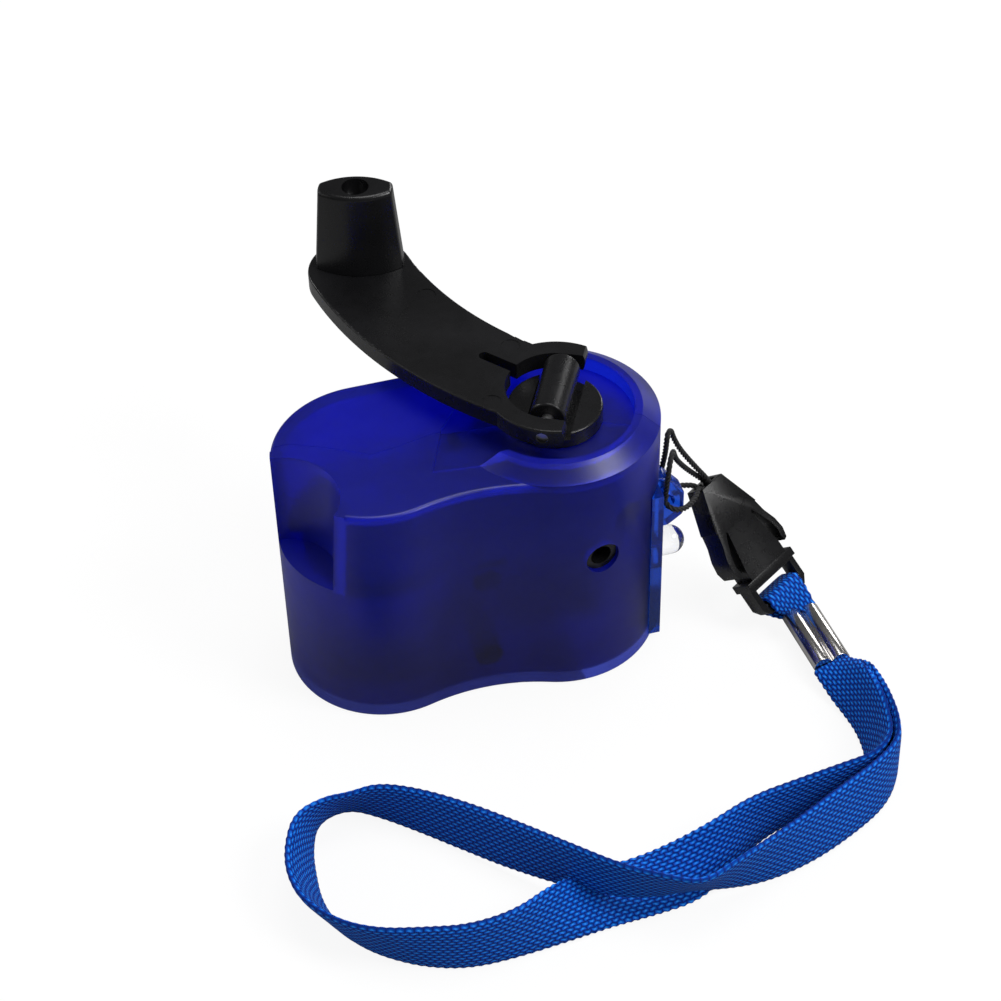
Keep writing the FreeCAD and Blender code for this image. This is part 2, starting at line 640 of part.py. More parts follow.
# ---------------------------------------------------------------- gears
def involute_gear(teeth, face):
    """Spur gear at the origin with one tooth on +X; stub teeth at 25 degrees with backlash."""
    module = size("gear_module")
    pressure = math.radians(25)
    pitch = module * teeth / 2
    base = pitch * math.cos(pressure)
    tip = pitch + 0.8 * module
    root = pitch - 1.05 * module
    backlash = 0.09 * module
    half_tooth = (math.pi / 2 * module - backlash) / 2 / pitch

    def involute(radius):
        ratio = min(1.0, base / radius)
        return math.tan(math.acos(ratio)) - math.acos(ratio)

    steps = 4
    lowest = max(base, root + 0.05 * module)
    flank = []
    for i in range(steps + 1):
        radius = lowest + (tip - lowest) * i / steps
        flank.append((radius, half_tooth + involute(pitch) - involute(radius)))
    flank.insert(0, (root, flank[0][1] * 1.04))
    corners = []
    for tooth in range(teeth):
        middle = 2 * math.pi * tooth / teeth
        side = [(r, middle - a) for r, a in flank] + [(r, middle + a) for r, a in reversed(flank)]
        corners += [Vector(r * math.cos(a), r * math.sin(a), 0) for r, a in side]
    wheel = Part.Face(Part.makePolygon(corners + corners[:1]))
    return wheel.extrude(Vector(0, 0, face))


def bored(shape, radius):
    deep = 4 * shape.BoundBox.DiagonalLength
    return shape.cut(Part.makeCylinder(radius, deep, Vector(0, 0, -deep / 2)))


def crank_gear():
    teeth = int(size("crank_teeth"))
    disc = bored(involute_gear(teeth, size("gear_face")), size("shaft_radius"))
    # five round lightening holes
    pitch = size("gear_module") * teeth / 2
    for i in range(5):
        spot = heading(36 + 72 * i).multVec(Vector(pitch * 0.58, 0, 0))
        disc = disc.cut(Part.makeCylinder(pitch * 0.2, 3 * size("gear_face"), spot - Z * size("gear_face")))
    return disc


def idler_gear():
    """Large wheel below, small pinion above, moulded as one; its bore runs on the axle."""
    wheel = involute_gear(int(size("idler_wheel_teeth")), size("gear_face"))
    rise = size("upper_gear_level") - size("lower_gear_level") + size("gear_face") + size("gear_gap")
    pinion = involute_gear(int(size("idler_pinion_teeth")), rise)
    # the pinion has a gap where the crank gear's tooth points at it
    pinion.rotate(Vector(), Z, 180 / int(size("idler_pinion_teeth")))
    return bored(wheel.fuse(pinion), size("axle_radius") + size("running"))


def rotor_pinion():
    pinion = involute_gear(int(size("rotor_teeth")), size("gear_face") + 0.4)
    return bored(pinion, size("axle_radius"))


idler_at = Vector(value_of(IDLER_X), 0, size("lower_gear_level"))
rotor_at = Vector(value_of(ROTOR_X), 0, size("lower_gear_level") - 0.2)
crank_at = Vector(0, 0, size("upper_gear_level"))
# the crank gear shows a tooth to the idler at -X; the rotor pinion shows a gap to the idler's wheel
crank_phase = 180.0
rotor_phase = 180.0 / size("rotor_teeth")
node("crank_gear", feature("crank_gear", crank_gear(), Placement(crank_at, heading(crank_phase))))
node("idler_gear", feature("idler_gear", idler_gear(), Placement(idler_at, Rotation())))
node("rotor_pinion", feature("rotor_pinion", rotor_pinion(), Placement(rotor_at, heading(rotor_phase))))


# ---------------------------------------------------------------- shafts, bushes and the gear plate
def flanged_bush(name, bore, low, high, flange_low, at, gap="running"):
    """A turned bush from low to high with a flange from flange_low upwards."""
    outer = f"{bore} + bush_wall"
    return turned(name, (
        (f"{bore} + {gap}", low), (outer, low), (outer, flange_low), (f"{outer} + bush_flange / 2", flange_low),
        (f"{outer} + bush_flange / 2", f"{flange_low} + bush_flange_thick"),
        (outer, f"{flange_low} + bush_flange_thick"), (outer, high), (f"{bore} + {gap}", high),
    ), at)


def gear_plate():
    """A level plate that fills the housing and carries the lower ends of the shafts."""
    blank = extrude("plate_blank", outline("plate_plan", "wall + easy", "plate_level"), "plate_thick")
    pocket_clear = ellipse_loft("plate_pocket_bite", [
        pocket_section("pocket_wall + easy", "plate_level - 1"),
        pocket_section("pocket_wall + easy", "plate_level + plate_thick + 1"),
    ])
    jack_clear = cylinder("plate_jack_bite", "jack_body + 2 * easy", "crank_lobe",
                          (0, 0, "jack_level"), heading(size("jack_heading")) * ALONG_X)
    low, tall = "plate_level - 2 * plate_thick", "5 * plate_thick"
    deep = cylinder("plate_middle", "shaft_radius + bush_wall + 2 * bush_flange_thick + 1", tall, (0, 0, low))
    bite = cut("plate_jack_notch", jack_clear, deep)
    holes = [
        cylinder("plate_crank_hole", "shaft_radius + bush_wall", tall, (0, 0, low)),
        cylinder("plate_axle_hole", "axle_radius", tall, (IDLER_X, 0, low)),
        cylinder("plate_rotor_hole", "1.5 * axle_radius", tall, (ROTOR_X, 0, low)),
    ]
    panel_clear = box("plate_panel_bite", "crank_lobe", "4 * crank_lobe", tall,
                      ("panel_inner - easy", "-2 * crank_lobe", low))
    return cut("gear_plate", blank, fuse("plate_holes", pocket_clear, bite, panel_clear, *holes))


PLATE_TOP = "(plate_level + plate_thick)"
node("gear_plate", gear_plate())
node("crank_bush_upper", flanged_bush("crank_bush_upper", "shaft_radius", f"{GEAR_TOP} + gear_gap", "well_level",
                                      f"{GEAR_TOP} + 2 * gear_gap", (0, 0, 0)))
node("crank_bush_lower", flanged_bush("crank_bush_lower", "shaft_radius", "plate_level", f"{PLATE_TOP} + plate_thick",
                                      PLATE_TOP, (0, 0, 0)))
node("crank_shaft", cylinder("crank_shaft", "shaft_radius", "hub_level - hub_cover - plate_level",
                             (0, 0, "plate_level")))
node("idler_axle", cylinder("idler_axle", "axle_radius", f"{LID} - plate_level", (IDLER_X, 0, "plate_level")))


# ---------------------------------------------------------------- generator
CAN_TOP = "(can_level + can_tall)"
COIL_OUTER = "(can_radius - can_wall - 2 * easy)"


def generator_can():
    inner = "can_radius - can_wall"
    return turned("generator_can", (
        ("axle_radius + bush_wall", "can_level"), ("can_radius", "can_level"), ("can_radius", CAN_TOP),
        (inner, CAN_TOP), (inner, "can_level + can_wall"),
        ("axle_radius + bush_wall", "can_level + can_wall"),
    ), (ROTOR_X, 0, 0))


def generator_cover():
    return turned("generator_cover", (
        ("axle_radius + bush_wall", CAN_TOP), ("can_radius", CAN_TOP), ("can_radius", f"{CAN_TOP} + cover_thick"),
        ("axle_radius + bush_wall", f"{CAN_TOP} + cover_thick"),
    ), (ROTOR_X, 0, 0))


def generator_bushes():
    bushes = []
    for word, low, thick in (("low", "can_level", "can_wall"), ("high", CAN_TOP, "cover_thick")):
        bushes.append(turned(f"rotor_bush_{word}", (
            ("axle_radius + running", low), ("axle_radius + bush_wall", low),
            ("axle_radius + bush_wall", f"{low} + {thick}"), ("axle_radius + running", f"{low} + {thick}"),
        ), (ROTOR_X, 0, 0)))
    return compound("generator_bushes", bushes)


def stator_coil():
    """A wound ring seated on the can's floor, full to its wall."""
    return turned("stator_coil", (
        ("coil_inner", "can_level + can_wall"), ("can_radius - can_wall", "can_level + can_wall"),
        ("can_radius - can_wall", "can_level + can_wall + 1"), (COIL_OUTER, "can_level + can_wall + 1"),
        (COIL_OUTER, f"{CAN_TOP} - 2"), ("coil_inner", f"{CAN_TOP} - 2"),
    ), (ROTOR_X, 0, 0))


def rotor_magnet():
    return turned("rotor_magnet", (
        ("axle_radius", "magnet_level"), ("magnet_radius", "magnet_level"),
        ("magnet_radius", "magnet_level + magnet_tall"), ("axle_radius", "magnet_level + magnet_tall"),
    ), (ROTOR_X, 0, 0))


node("generator_can", generator_can())
node("generator_cover", generator_cover())
node("generator_bushes", generator_bushes())
node("stator_coil", stator_coil())
node("rotor_magnet", rotor_magnet())
node("rotor_shaft", cylinder("rotor_shaft", "axle_radius", "lower_gear_level + gear_face + 0.4 - can_level",
                             (ROTOR_X, 0, "can_level")))


def generator_lead(aside, level, sag):
    """A wire from the can's wall to the board's face that hangs out by the sag on its way."""
    face = size("board_face") - size("board_thick")
    wall = value_of(ROTOR_X) + math.sqrt(size("can_radius") ** 2 - aside ** 2) - size("seat")
    end = Vector(size("panel_inner") - size("board_length") + size("lead_inset"), face,
                 level - size("lead_drop"))
    start = Vector(wall, aside, level)
    out = start + Vector(1, -0.64, -0.21) * size("lead_out")
    middle = [start + (end - start) * share - Vector(0, sag * part, 0)
              for share, part in ((0.5, 1), (0.85, 0.7))]
    return tube([start, out, *middle, end], size("lead_radius"), "generator lead")


leads = [generator_lead(-size("lead_aside"), size("lead_high"), size("lead_high_sag")),
         generator_lead(size("lead_aside"), size("lead_low"), size("lead_low_sag"))]
node("generator_leads", feature("generator_leads", Part.makeCompound(leads)))


# ---------------------------------------------------------------- housing screws
def housing_screws():
    screws = []
    for word, across, level in CASE_SCREWS:
        profile = (
            (0, 0), ("case_screw - 0.3", 0), ("case_screw", "case_screw_point"),
            ("case_screw", "case_screw_length - 1"), ("case_screw_head", "case_screw_length - 1"),
            ("case_screw_head", "case_screw_length + case_screw_point"),
            (0, "case_screw_length + case_screw_point"),
        )
        screws.append(turned(f"screw_{word}", profile,
                             (across, "counterbore_face + 1 - case_screw_length", level), ALONG_Y))
    return compound("housing_screws", screws)


node("housing_screws", housing_screws())


# ---------------------------------------------------------------- crank hub, arm and knob
# these are drawn in the crank's own frame: X along the hinge, Y from the hinge towards the arm
HINGE_TURN = heading(size("hinge_heading"))


# where the mould's pins touched the arm, in the crank's frame
EJECTOR_MARKS = ((18.9, 25.4), (8.4, 9.0), (-5.7, 9.1))


def crank_hub():
    """Disc in the ring's well, with a trough and the hinge barrel in it."""
    low = "well_level + easy"
    plain = cylinder("hub_disc", "hub_radius", f"hub_level - ({low})", (0, 0, low))

    def on_hub_rim(edge):
        return edge.BoundBox.ZMin > size("hub_level") - 0.01

    disc = fillet("hub_soft_rim", plain, "edge_round", on_hub_rim)
    trough = box("hub_trough", "3 * hub_radius", "2 * trough_half", "hub_radius",
                 ("-1.5 * hub_radius", "-trough_half", "hub_level - trough_depth"))
    plain = cylinder("hub_barrel", "barrel_radius", "2 * barrel_half",
                     ("-barrel_half", 0, "hinge_level"), ALONG_X)

    def on_barrel_end(edge):
        return edge.BoundBox.XLength < 0.01

    barrel = fillet("hub_soft_barrel", plain, "edge_round", on_barrel_end)
    web = box("hub_web", "2 * barrel_half - 1", "1.5 * barrel_radius", "hinge_level - hub_level + trough_depth",
              ("-barrel_half + 0.5", "-0.75 * barrel_radius", "hub_level - trough_depth"))
    shaft_hole = cylinder("hub_shaft_hole", "shaft_radius", "hub_level - hub_cover - well_level + wall",
                          (0, 0, "well_level - wall"))
    pin_hole = cylinder("hub_pin_hole", "pin_radius + running", "4 * barrel_half",
                        ("-2 * barrel_half", 0, "hinge_level"), ALONG_X)
    solid = fuse("hub_solid", cut("hub_dished", disc, trough), web, barrel)
    hub = cut("crank_hub", solid, fuse("hub_holes", shaft_hole, pin_hole))
    hub.Placement = Placement(Vector(), HINGE_TURN)
    return hub


def crank_arm():
    """Curved flat arm: a band between two arcs, a forked head round the hub and a round outer end."""
    low = "hinge_level - arm_thick / 2"
    centre = ("arm_centre_along", "-arm_centre_back", low)
    centre_along, centre_back = size("arm_centre_along"), size("arm_centre_back")
    at_knob = math.degrees(math.atan2(size("knob_out") + centre_back, size("knob_along") - centre_along))
    at_hub = math.degrees(math.atan2(centre_back, -centre_along))
    at_end = at_knob + size("end_turn")
    sweep = at_hub - at_end
    outer = cylinder("arm_outside", "arm_outer", "arm_thick", centre, heading(at_end), sweep)
    inner = cylinder("arm_inside", "arm_inner", "arm_thick", centre, heading(at_end - 5), sweep + 10)
    band = cut("arm_band", outer, inner)
    middle = "(arm_inner + arm_outer) / 2"
    end = cylinder("arm_end", "(arm_outer - arm_inner) / 2", "arm_thick", (
        f"arm_centre_along + {middle} * cos({at_end} * 1 deg)",
        f"-arm_centre_back + {middle} * sin({at_end} * 1 deg)", low))
    head = cylinder("arm_head", "head_radius", "arm_thick", (0, 0, low))
    round_knuckles = cylinder("round_knuckles", "knuckle_radius", "2 * head_radius - 0.8",
                              ("-head_radius + 0.4", 0, "hinge_level"), ALONG_X)
    above = box("above_arm", "4 * head_radius", "2 * head_radius", "arm_thick",
                ("-2 * head_radius", "-head_radius", "hinge_level + arm_thick / 2"))
    knuckles = cut("arm_knuckles", round_knuckles, above)
    under, tall = "hinge_level - 2 * arm_thick", "4 * arm_thick"
    # the two prongs end in a curve about the hinge
    beyond = box("beyond_hinge", "4 * head_radius", "2 * head_radius", tall,
                 ("-2 * head_radius", "-2 * head_radius", under))
    swing = cylinder("prong_swing", "prong_reach", "4 * head_radius", ("-2 * head_radius", 0, "hinge_level"), ALONG_X)
    ends = cut("prong_ends", beyond, swing)

    def on_rim(edge):
        return edge.BoundBox.ZMin > size("hinge_level") and edge.Curve.TypeId == "Part::GeomCircle"

    soft_band = fillet("arm_soft_band", fuse("arm_length", band, end), "edge_round", on_rim)
    soft_head = fillet("arm_soft_head", head, "edge_round", on_rim)
    plate = cut("arm_plate", fuse("arm_whole", soft_band, soft_head), ends)
    solid = fuse("arm_solid", plate, knuckles)
    opening = cylinder("head_opening", "head_bore", tall, (0, 0, under))
    # straight inner sides for the two prongs
    throat = box("head_throat", "2 * head_bore", "2 * head_radius", tall,
                 ("-head_bore", "-2 * head_radius", under))
    # the slot runs out of the opening, and its end is round
    slot = box("arm_slot", "slot_width", "head_bore + slot_length", tall,
               ("-slot_width / 2 * cos(slot_turn * 1 deg)", "-slot_width / 2 * sin(slot_turn * 1 deg)", under),
               heading(size("slot_turn")))
    slot_end = cylinder("arm_slot_end", "slot_width / 2", tall,
                        ("-(head_bore + slot_length) * sin(slot_turn * 1 deg)",
                         "(head_bore + slot_length) * cos(slot_turn * 1 deg)", under))
    pin_hole = cylinder("arm_pin_hole", "pin_radius", "4 * head_radius",
                        ("-2 * head_radius", 0, "hinge_level"), ALONG_X)
    screw_hole = cylinder("arm_screw_hole", "screw_radius", tall, ("knob_along", "knob_out", under))
    marks = []
    for i, (along, out) in enumerate(EJECTOR_MARKS):
        marks.append(cylinder(f"ejector_mark_{i}", "screw_radius", "arm_thick",
                              (along, out, "hinge_level + arm_thick / 2 - seat")))
    spaces = fuse("arm_spaces", opening, throat, pin_hole, screw_hole, slot, slot_end, *marks)
    arm = cut("crank_arm", solid, spaces)
    arm.Placement = Placement(Vector(), HINGE_TURN)
    return arm


def hinge_pin():
    half = "(head_radius - 0.6)"
    start = (f"-{half} * cos(hinge_heading * 1 deg)", f"-{half} * sin(hinge_heading * 1 deg)", "hinge_level")
    return cylinder("hinge_pin", "pin_radius", f"2 * {half}", start, HINGE_TURN * ALONG_X)


# the knob's place in the housing's frame at rest
KNOB_X = "(knob_along * cos(hinge_heading * 1 deg) - knob_out * sin(hinge_heading * 1 deg))"
KNOB_Y = "(knob_along * sin(hinge_heading * 1 deg) + knob_out * cos(hinge_heading * 1 deg))"
KNOB_BASE = "(hinge_level + arm_thick / 2 + seat)"


def crank_knob():
    """Oval knob: two wide sloping sides met by a round-ended taper, hollowed for its screw."""
    sides = []
    for word, sign in (("left", 1), ("right", -1)):
        sides.append(cone(f"knob_{word}", "knob_side + knob_taper_wide", "knob_side", "knob_tall",
                          (0, f"{sign} * (knob_side + knob_taper_wide - knob_half_wide)", 0)))
    lens = common("knob_lens", *sides)
    ends = cone("knob_ends", "knob_half_long", "knob_half_long - knob_taper_long", "knob_tall")
    oval = common("knob_oval", lens, ends)

    def on_top_rim(edge):
        return edge.BoundBox.ZMin > size("knob_tall") - 0.01

    def on_corner(edge):
        return edge.BoundBox.ZLength > 0.9 * size("knob_tall")

    soft = fillet("knob_soft_corners", oval, "base_round", on_corner)
    soft = fillet("knob_soft_top", soft, "top_round", on_top_rim)
    well = cylinder("knob_well", "knob_hole", "2 * knob_hole_deep", (0, 0, "knob_tall - knob_hole_deep"))
    bore = cylinder("knob_bore", "screw_radius + running", "2 * knob_tall", (0, 0, "-knob_tall / 2"))
    knob = cut("crank_knob", soft, fuse("knob_spaces", well, bore))
    return place(knob, (KNOB_X, KNOB_Y, KNOB_BASE), heading(size("knob_turn")))


def knob_screw():
    """Shoulder screw from the arm to the bottom of the knob's hole."""
    below = "(arm_thick + seat)"
    seat_level = "(knob_tall - knob_hole_deep + 0.1)"
    return turned("knob_screw", (
        (0, f"-{below}"), ("screw_radius", f"-{below}"), ("screw_radius", seat_level),
        ("screw_head", seat_level), ("screw_head", f"{seat_level} + screw_head_tall"),
        (0, f"{seat_level} + screw_head_tall"),
    ), (KNOB_X, KNOB_Y, KNOB_BASE))


node("crank_hub", crank_hub())
node("crank_arm", crank_arm())
node("hinge_pin", hinge_pin())
node("crank_knob", crank_knob())
node("knob_screw", knob_screw())


# ---------------------------------------------------------------- lanyard
# the buckle's own frame: Z runs from the socket's mouth to the plug's end, X is its width
BUCKLE_MOUTH = Vector(26.2, 0.2, 23.0)
buckle_run = Vector(0.42, -0.54, -0.73)
buckle_width = Vector(0.858, 0.497, 0.125)
buckle_turn = Rotation(buckle_width, Vector(), buckle_run, "ZXY")


def flat_piece(name, corners, thickness="buckle_thick"):
    """A piece of the buckle: an outline in width and run, padded evenly to both sides."""
    body = doc.addObject("PartDesign::Body", name)
    sketch = body_sketch(body, name + "_outline", "XZ_Plane")
    polygon(sketch, corners)
    pad = body.newObject("PartDesign::Pad", name + "_pad")
    pad.Profile = sketch
    pad.Midplane = True
    bind(pad, Length=thickness)
    body.Tip = pad
    return body


def mirrored(corners):
    """Both sides of a symmetric outline from the corners of its right side."""
    return tuple(corners) + tuple((f"-({x})", y) for x, y in reversed(corners))


def in_buckle(thing):
    thing.Placement = Placement(BUCKLE_MOUTH, buckle_turn)
    return thing


def buckle_socket():
    """Tapered body with a waist, and a springy lever on each side of it."""
    body = flat_piece("socket_body", mirrored((
        ("buckle_neck", 0), ("buckle_shoulder", "shoulder_at"), ("core_waist", "shoulder_at + 1"),
        ("core_foot", "collar_at - 2"), ("core_foot", "collar_at"),
    )))
    levers = []
    for word, sign in (("left", "-1"), ("right", "1")):
        levers.append(flat_piece(f"lever_{word}", tuple((f"{sign} * ({x})", y) for x, y in (
            ("core_waist", "shoulder_at"), ("buckle_shoulder - 0.4", "shoulder_at - 1"),
            ("buckle_shoulder + 0.25", "shoulder_at + 2.3"), ("lever_bulge - 0.3", "shoulder_at + 4.7"),
            ("lever_bulge", "lever_end - 2"), ("lever_bulge - 0.4", "lever_end - 0.3"),
            ("lever_bulge - lever_thick", "lever_end"), ("lever_bulge - lever_thick - 0.2", "lever_end - 1"),
            ("lever_bulge - lever_thick", "lever_end - 2.3"), ("lever_bulge - 0.3 - lever_thick", "shoulder_at + 5"),
            ("buckle_shoulder + 0.1 - lever_thick", "shoulder_at + 2.4"),
            ("core_waist + 0.3", "shoulder_at + 0.9"),
        ))))
    room = box("socket_mouth", "2 * mouth_half", "2 * mouth_half - 0.7", "2 * mouth_deep",
               ("-mouth_half", "-mouth_half + 0.35", "-mouth_deep"))
    tongue_room = box("tongue_room", "2 * tongue_half + 2 * easy", "tongue_thick + 2 * easy",
                      "2 * tongue_reach", ("-tongue_half - easy", "-tongue_thick / 2 - easy",
                                           "collar_at - tongue_reach - easy"))
    spaces = fuse("socket_spaces", room, tongue_room)
    return in_buckle(cut("buckle_socket", fuse("socket_solid", body, *levers), spaces))


def buckle_plug():
    """Collar with a tongue that goes into the socket, and the frame that the webbing goes round."""
    collar = flat_piece("plug_collar", mirrored((
        ("collar_half", "collar_at"), ("collar_half", "collar_at + collar_thick"),
    )))
    frame = flat_piece("plug_frame", mirrored((
        ("frame_half", "collar_at + collar_thick / 2"), ("frame_half", "buckle_end - 1.4"),
        ("frame_half - 1", "buckle_end"),
    )), "frame_thick")
    tongue = flat_piece("plug_tongue", mirrored((
        ("tongue_half - 0.6", "collar_at - tongue_reach"), ("tongue_half", "collar_at - tongue_reach + 0.8"),
        ("tongue_half", "collar_at + collar_thick / 2"),
    )), "tongue_thick")
    slot = box("frame_slot", "2 * frame_slot_half", "2 * buckle_thick",
               "buckle_end - frame_bar - frame_slot_at", ("-frame_slot_half", "-buckle_thick", "frame_slot_at"))
    return in_buckle(cut("buckle_plug", fuse("plug_solid", collar, frame, tongue), slot))


node("buckle_socket", buckle_socket())
node("buckle_plug", buckle_plug())

ferrule_start = Vector(38.8, -15.4, 3.5)
ferrule_end = Vector(39.9, -28.0, 3.3)


def strap_ferrule():
    """Two short metal tubes side by side, joined along their length."""
    run = ferrule_end - ferrule_start
    side = run.cross(Z).normalize() * size("tube_radius")
    tubes = []
    for sign in (-1, 1):
        tubes.append(Part.makeCylinder(size("tube_radius"), size("ferrule_length"),
                                       ferrule_start + side * sign, run))
    across, deep = size("tube_radius"), size("tube_radius") * 0.8
    bridge = Part.makeBox(across, deep, size("ferrule_length"))
    bridge.translate(Vector(-across / 2, -deep / 2, 0))
    bridge.Placement = Placement(ferrule_start, Rotation(side, Vector(), run, "ZXY")) * bridge.Placement
    return tubes[0].fuse([tubes[1], bridge]).removeSplitter()


def flat_ring(centre, reach, depth):
    """The outline of a flat band's section."""
    ring = [centre - reach - depth, centre + reach - depth, centre + reach + depth, centre - reach + depth]
    return Part.makePolygon(ring + ring[:1])


def ribbon(stations, thickness, label):
    """A flat webbing band on its edge.

    Each station is (x, y, lean, lift, width): a point of the plan route, how far the band leans from
    upright towards its left, how far its low edge is off the ground, and its width there.
    """
    points = [Vector(x, y, 0) for x, y, *rest in stations]
    path = tube_path(points, label)
    ends = [0.0]
    for first, second in zip(points, points[1:]):
        ends.append(ends[-1] + (second - first).Length)
    scale = path.Length / ends[-1]
    marks = [end * scale for end in ends]
    count = int(path.Length / size("strap_step"))
    spots = path.discretize(Number=count + 1)
    sections = []
    centres = []
    for i, spot in enumerate(spots):
        along = path.Length * i / count
        k = max(j for j in range(len(marks) - 1) if marks[j] <= along + 1e-6)
        share = (along - marks[k]) / (marks[k + 1] - marks[k])
        lean, lift, width = (a + (b - a) * share for a, b in zip(stations[k][2:], stations[k + 1][2:]))
        before = spots[max(i - 1, 0)]
        after = spots[min(i + 1, count)]
        run = (after - before).normalize()
        left = Z.cross(run)
        tilt = math.radians(lean)
        upward = Z * math.cos(tilt) + left * math.sin(tilt)
        outward = left * math.cos(tilt) - Z * math.sin(tilt)
        rise = (width * abs(math.cos(tilt)) + thickness * abs(math.sin(tilt))) / 2
        centre = spot + Z * (size("ground_gap") + lift + rise)
        centres.append(centre)
        sections.append(flat_ring(centre, upward * (width / 2), outward * (thickness / 2)))
    solid = Part.makeLoft(sections, True, True)
    length = sum((b - a).Length for a, b in zip(centres, centres[1:]))
    full = thickness * size("strap_width") * length
    print(label, "length", round(length, 1), "volume over section x length", round(solid.Volume / full, 3))
    return solid


WIDE = size("strap_width")
strap_route = (
    (38.3, -28.2, 0, 1.6, 3.0), (39.4, -31.4, 0, 0.4, 7.5), (40.4, -36.0, 0, 0, WIDE),
    (41.2, -41.5, 0, 0, WIDE), (41.3, -47.5, 0, 0, WIDE), (39.7, -52.6, 0, 0, WIDE),
    (34.5, -55.0, 0, 0, WIDE), (26.5, -56.1, 0, 0, WIDE), (18.5, -57.7, -6, 0, WIDE),
    (10.5, -60.2, -30, 0, WIDE), (3.0, -62.9, -70, 0, WIDE), (-5.0, -65.0, -88, 0, WIDE),
    (-13.5, -66.7, -80, 0, WIDE), (-21.5, -68.5, -25, 0, WIDE), (-29.5, -69.2, -5, 0, WIDE),
    (-37.5, -67.8, 0, 0, WIDE), (-45.5, -65.0, 0, 0, WIDE), (-51.5, -60.6, 0, 0, WIDE),
    (-55.0, -54.0, 0, 0, WIDE), (-55.6, -47.0, 0, 0, WIDE), (-53.2, -40.4, 0, 0, WIDE),
    (-48.5, -35.6, 0, 0, WIDE), (-42.0, -34.9, 0, 0, WIDE), (-36.0, -38.6, 0, 0, WIDE),
    (-29.5, -44.6, 0, 0, WIDE), (-22.5, -51.2, 8, 0, WIDE), (-15.5, -57.3, 25, 0.3, WIDE),
    (-8.5, -62.2, 75, 1.8, WIDE), (-0.5, -65.6, 88, 1.8, WIDE), (7.5, -66.6, 60, 0.6, WIDE),
    (15.5, -65.2, 40, 0, WIDE), (23.5, -62.6, 35, 0, WIDE), (31.5, -59.6, 20, 0, WIDE),
    (38.5, -56.8, 8, 0, WIDE), (42.9, -52.5, 0, 0, WIDE), (43.6, -46.0, 0, 0, WIDE),
    (43.2, -40.0, 0, 0, WIDE), (42.6, -33.0, 0, 0.2, 9.0), (41.7, -27.9, 0, 1.6, 3.0),
)

string_routes = {
    "lanyard_string_upper": (
        (28.53, -1.86, 20.79), (26.9, 0.2, 23.6), (24.9, -0.1, 26.7), (22.9, -0.5, 30.0), (21.1, -0.9, 33.2),
        (19.8, -1.3, 36.3), (18.9, -1.9, 38.6), (18.3, -2.7, 37.0), (18.2, -2.0, 33.6), (18.0, -1.3, 30.4),
        (17.3, -2.2, 27.9), (17.0, -4.6, 27.5), (16.8, -7.0, 28.3), (16.6, -7.7, 31.0), (16.8, -7.8, 34.2),
        (17.4, -7.0, 36.9), (18.4, -5.4, 37.2), (19.0, -3.9, 35.4), (20.0, -2.5, 32.4), (22.2, -0.9, 28.6),
        (24.6, 0.4, 25.2), (26.6, 0.9, 22.8), (28.17, -1.02, 19.96),
    ),
    "lanyard_string_lower": (
        (27.35, -2.58, 20.58), (25.2, -0.5, 23.8), (23.2, -3.9, 24.1), (20.9, -6.4, 24.8), (18.8, -7.5, 25.7),
        (17.4, -6.9, 26.3), (17.3, -4.6, 26.4), (17.7, -2.2, 26.1), (20.0, -1.0, 25.0), (22.7, -0.3, 24.0),
        (25.2, 0.3, 22.6), (26.98, -1.82, 19.87),
    ),
}
for label, route in string_routes.items():
    node(label, feature(label, tube(vectors(route), size("string_radius"), label)))


def strap_stub():
    """Webbing that leaves the ferrule, goes over the frame's bar, through its slot and back under the bar."""
    out = buckle_run.cross(buckle_width)
    ferrule_side = Z.cross(ferrule_end - ferrule_start).normalize()
    mouth_half = 2 * size("tube_radius") - 0.3
    layer = size("stub_thick") / 2 + 0.15
    bar_face = size("frame_thick") / 2
    bar_far, bar_near = size("buckle_end"), size("buckle_end") - size("frame_bar")

    def section(along, off, lean):
        centre = BUCKLE_MOUTH + buckle_run * along + out * off
        return centre, buckle_width, Rotation(buckle_width, lean).multVec(out), size("stub_half")

    upper = [(ferrule_start + Z * layer, ferrule_side, Z, mouth_half), section(bar_far + 0.3, bar_face + layer, 10)]
    for lean in (0, -45, -90):
        turn = math.radians(lean)
        upper.append(section(bar_near + layer * math.sin(turn), bar_face + layer * math.cos(turn), lean))
    bend = [section(bar_near - layer, 0, -90)]
    lower = []
    for centre, across, face, half in reversed(upper[1:]):
        off = (centre - BUCKLE_MOUTH).dot(out)
        flipped = face - out * 2 * face.dot(out)
        lower.append((centre - out * 2 * off, across, flipped, half))
    lower.append((ferrule_start - Z * layer, ferrule_side, Z * -1, mouth_half))
    sections = []
    for centre, across, face, half in upper + bend + lower:
        sections.append(flat_ring(centre, across * half, face * (size("stub_thick") / 2)))
    return Part.makeLoft(sections, True, True)


node("strap_ferrule", feature("strap_ferrule", strap_ferrule()))
node("strap_stub", feature("strap_stub", strap_stub()))
node("wrist_strap", feature("wrist_strap", ribbon(strap_route, size("strap_thick"), "wrist_strap")))


# ---------------------------------------------------------------- check and write
def is_solid(shape):
    return not shape.isNull() and shape.isValid() and len(shape.Solids) > 0


doc.recompute()
faults = [thing.Name for thing in doc.Objects if {"Invalid", "Error"} & set(thing.State)]
faults += [thing.Label for thing in nodes if not is_solid(thing.Shape)]
if faults:
    raise RuntimeError("failed: " + ", ".join(faults))

os.makedirs("parts", exist_ok=True)
for thing in nodes:
    thing.Shape.exportStep(f"parts/{thing.Label}.step")
    print(f"{thing.Label:24s} solids {len(thing.Shape.Solids)}  volume {thing.Shape.Volume:9.1f}")
print(len(nodes), "nodes")
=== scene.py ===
import json
import math

import bpy
from mathutils import Matrix, Vector


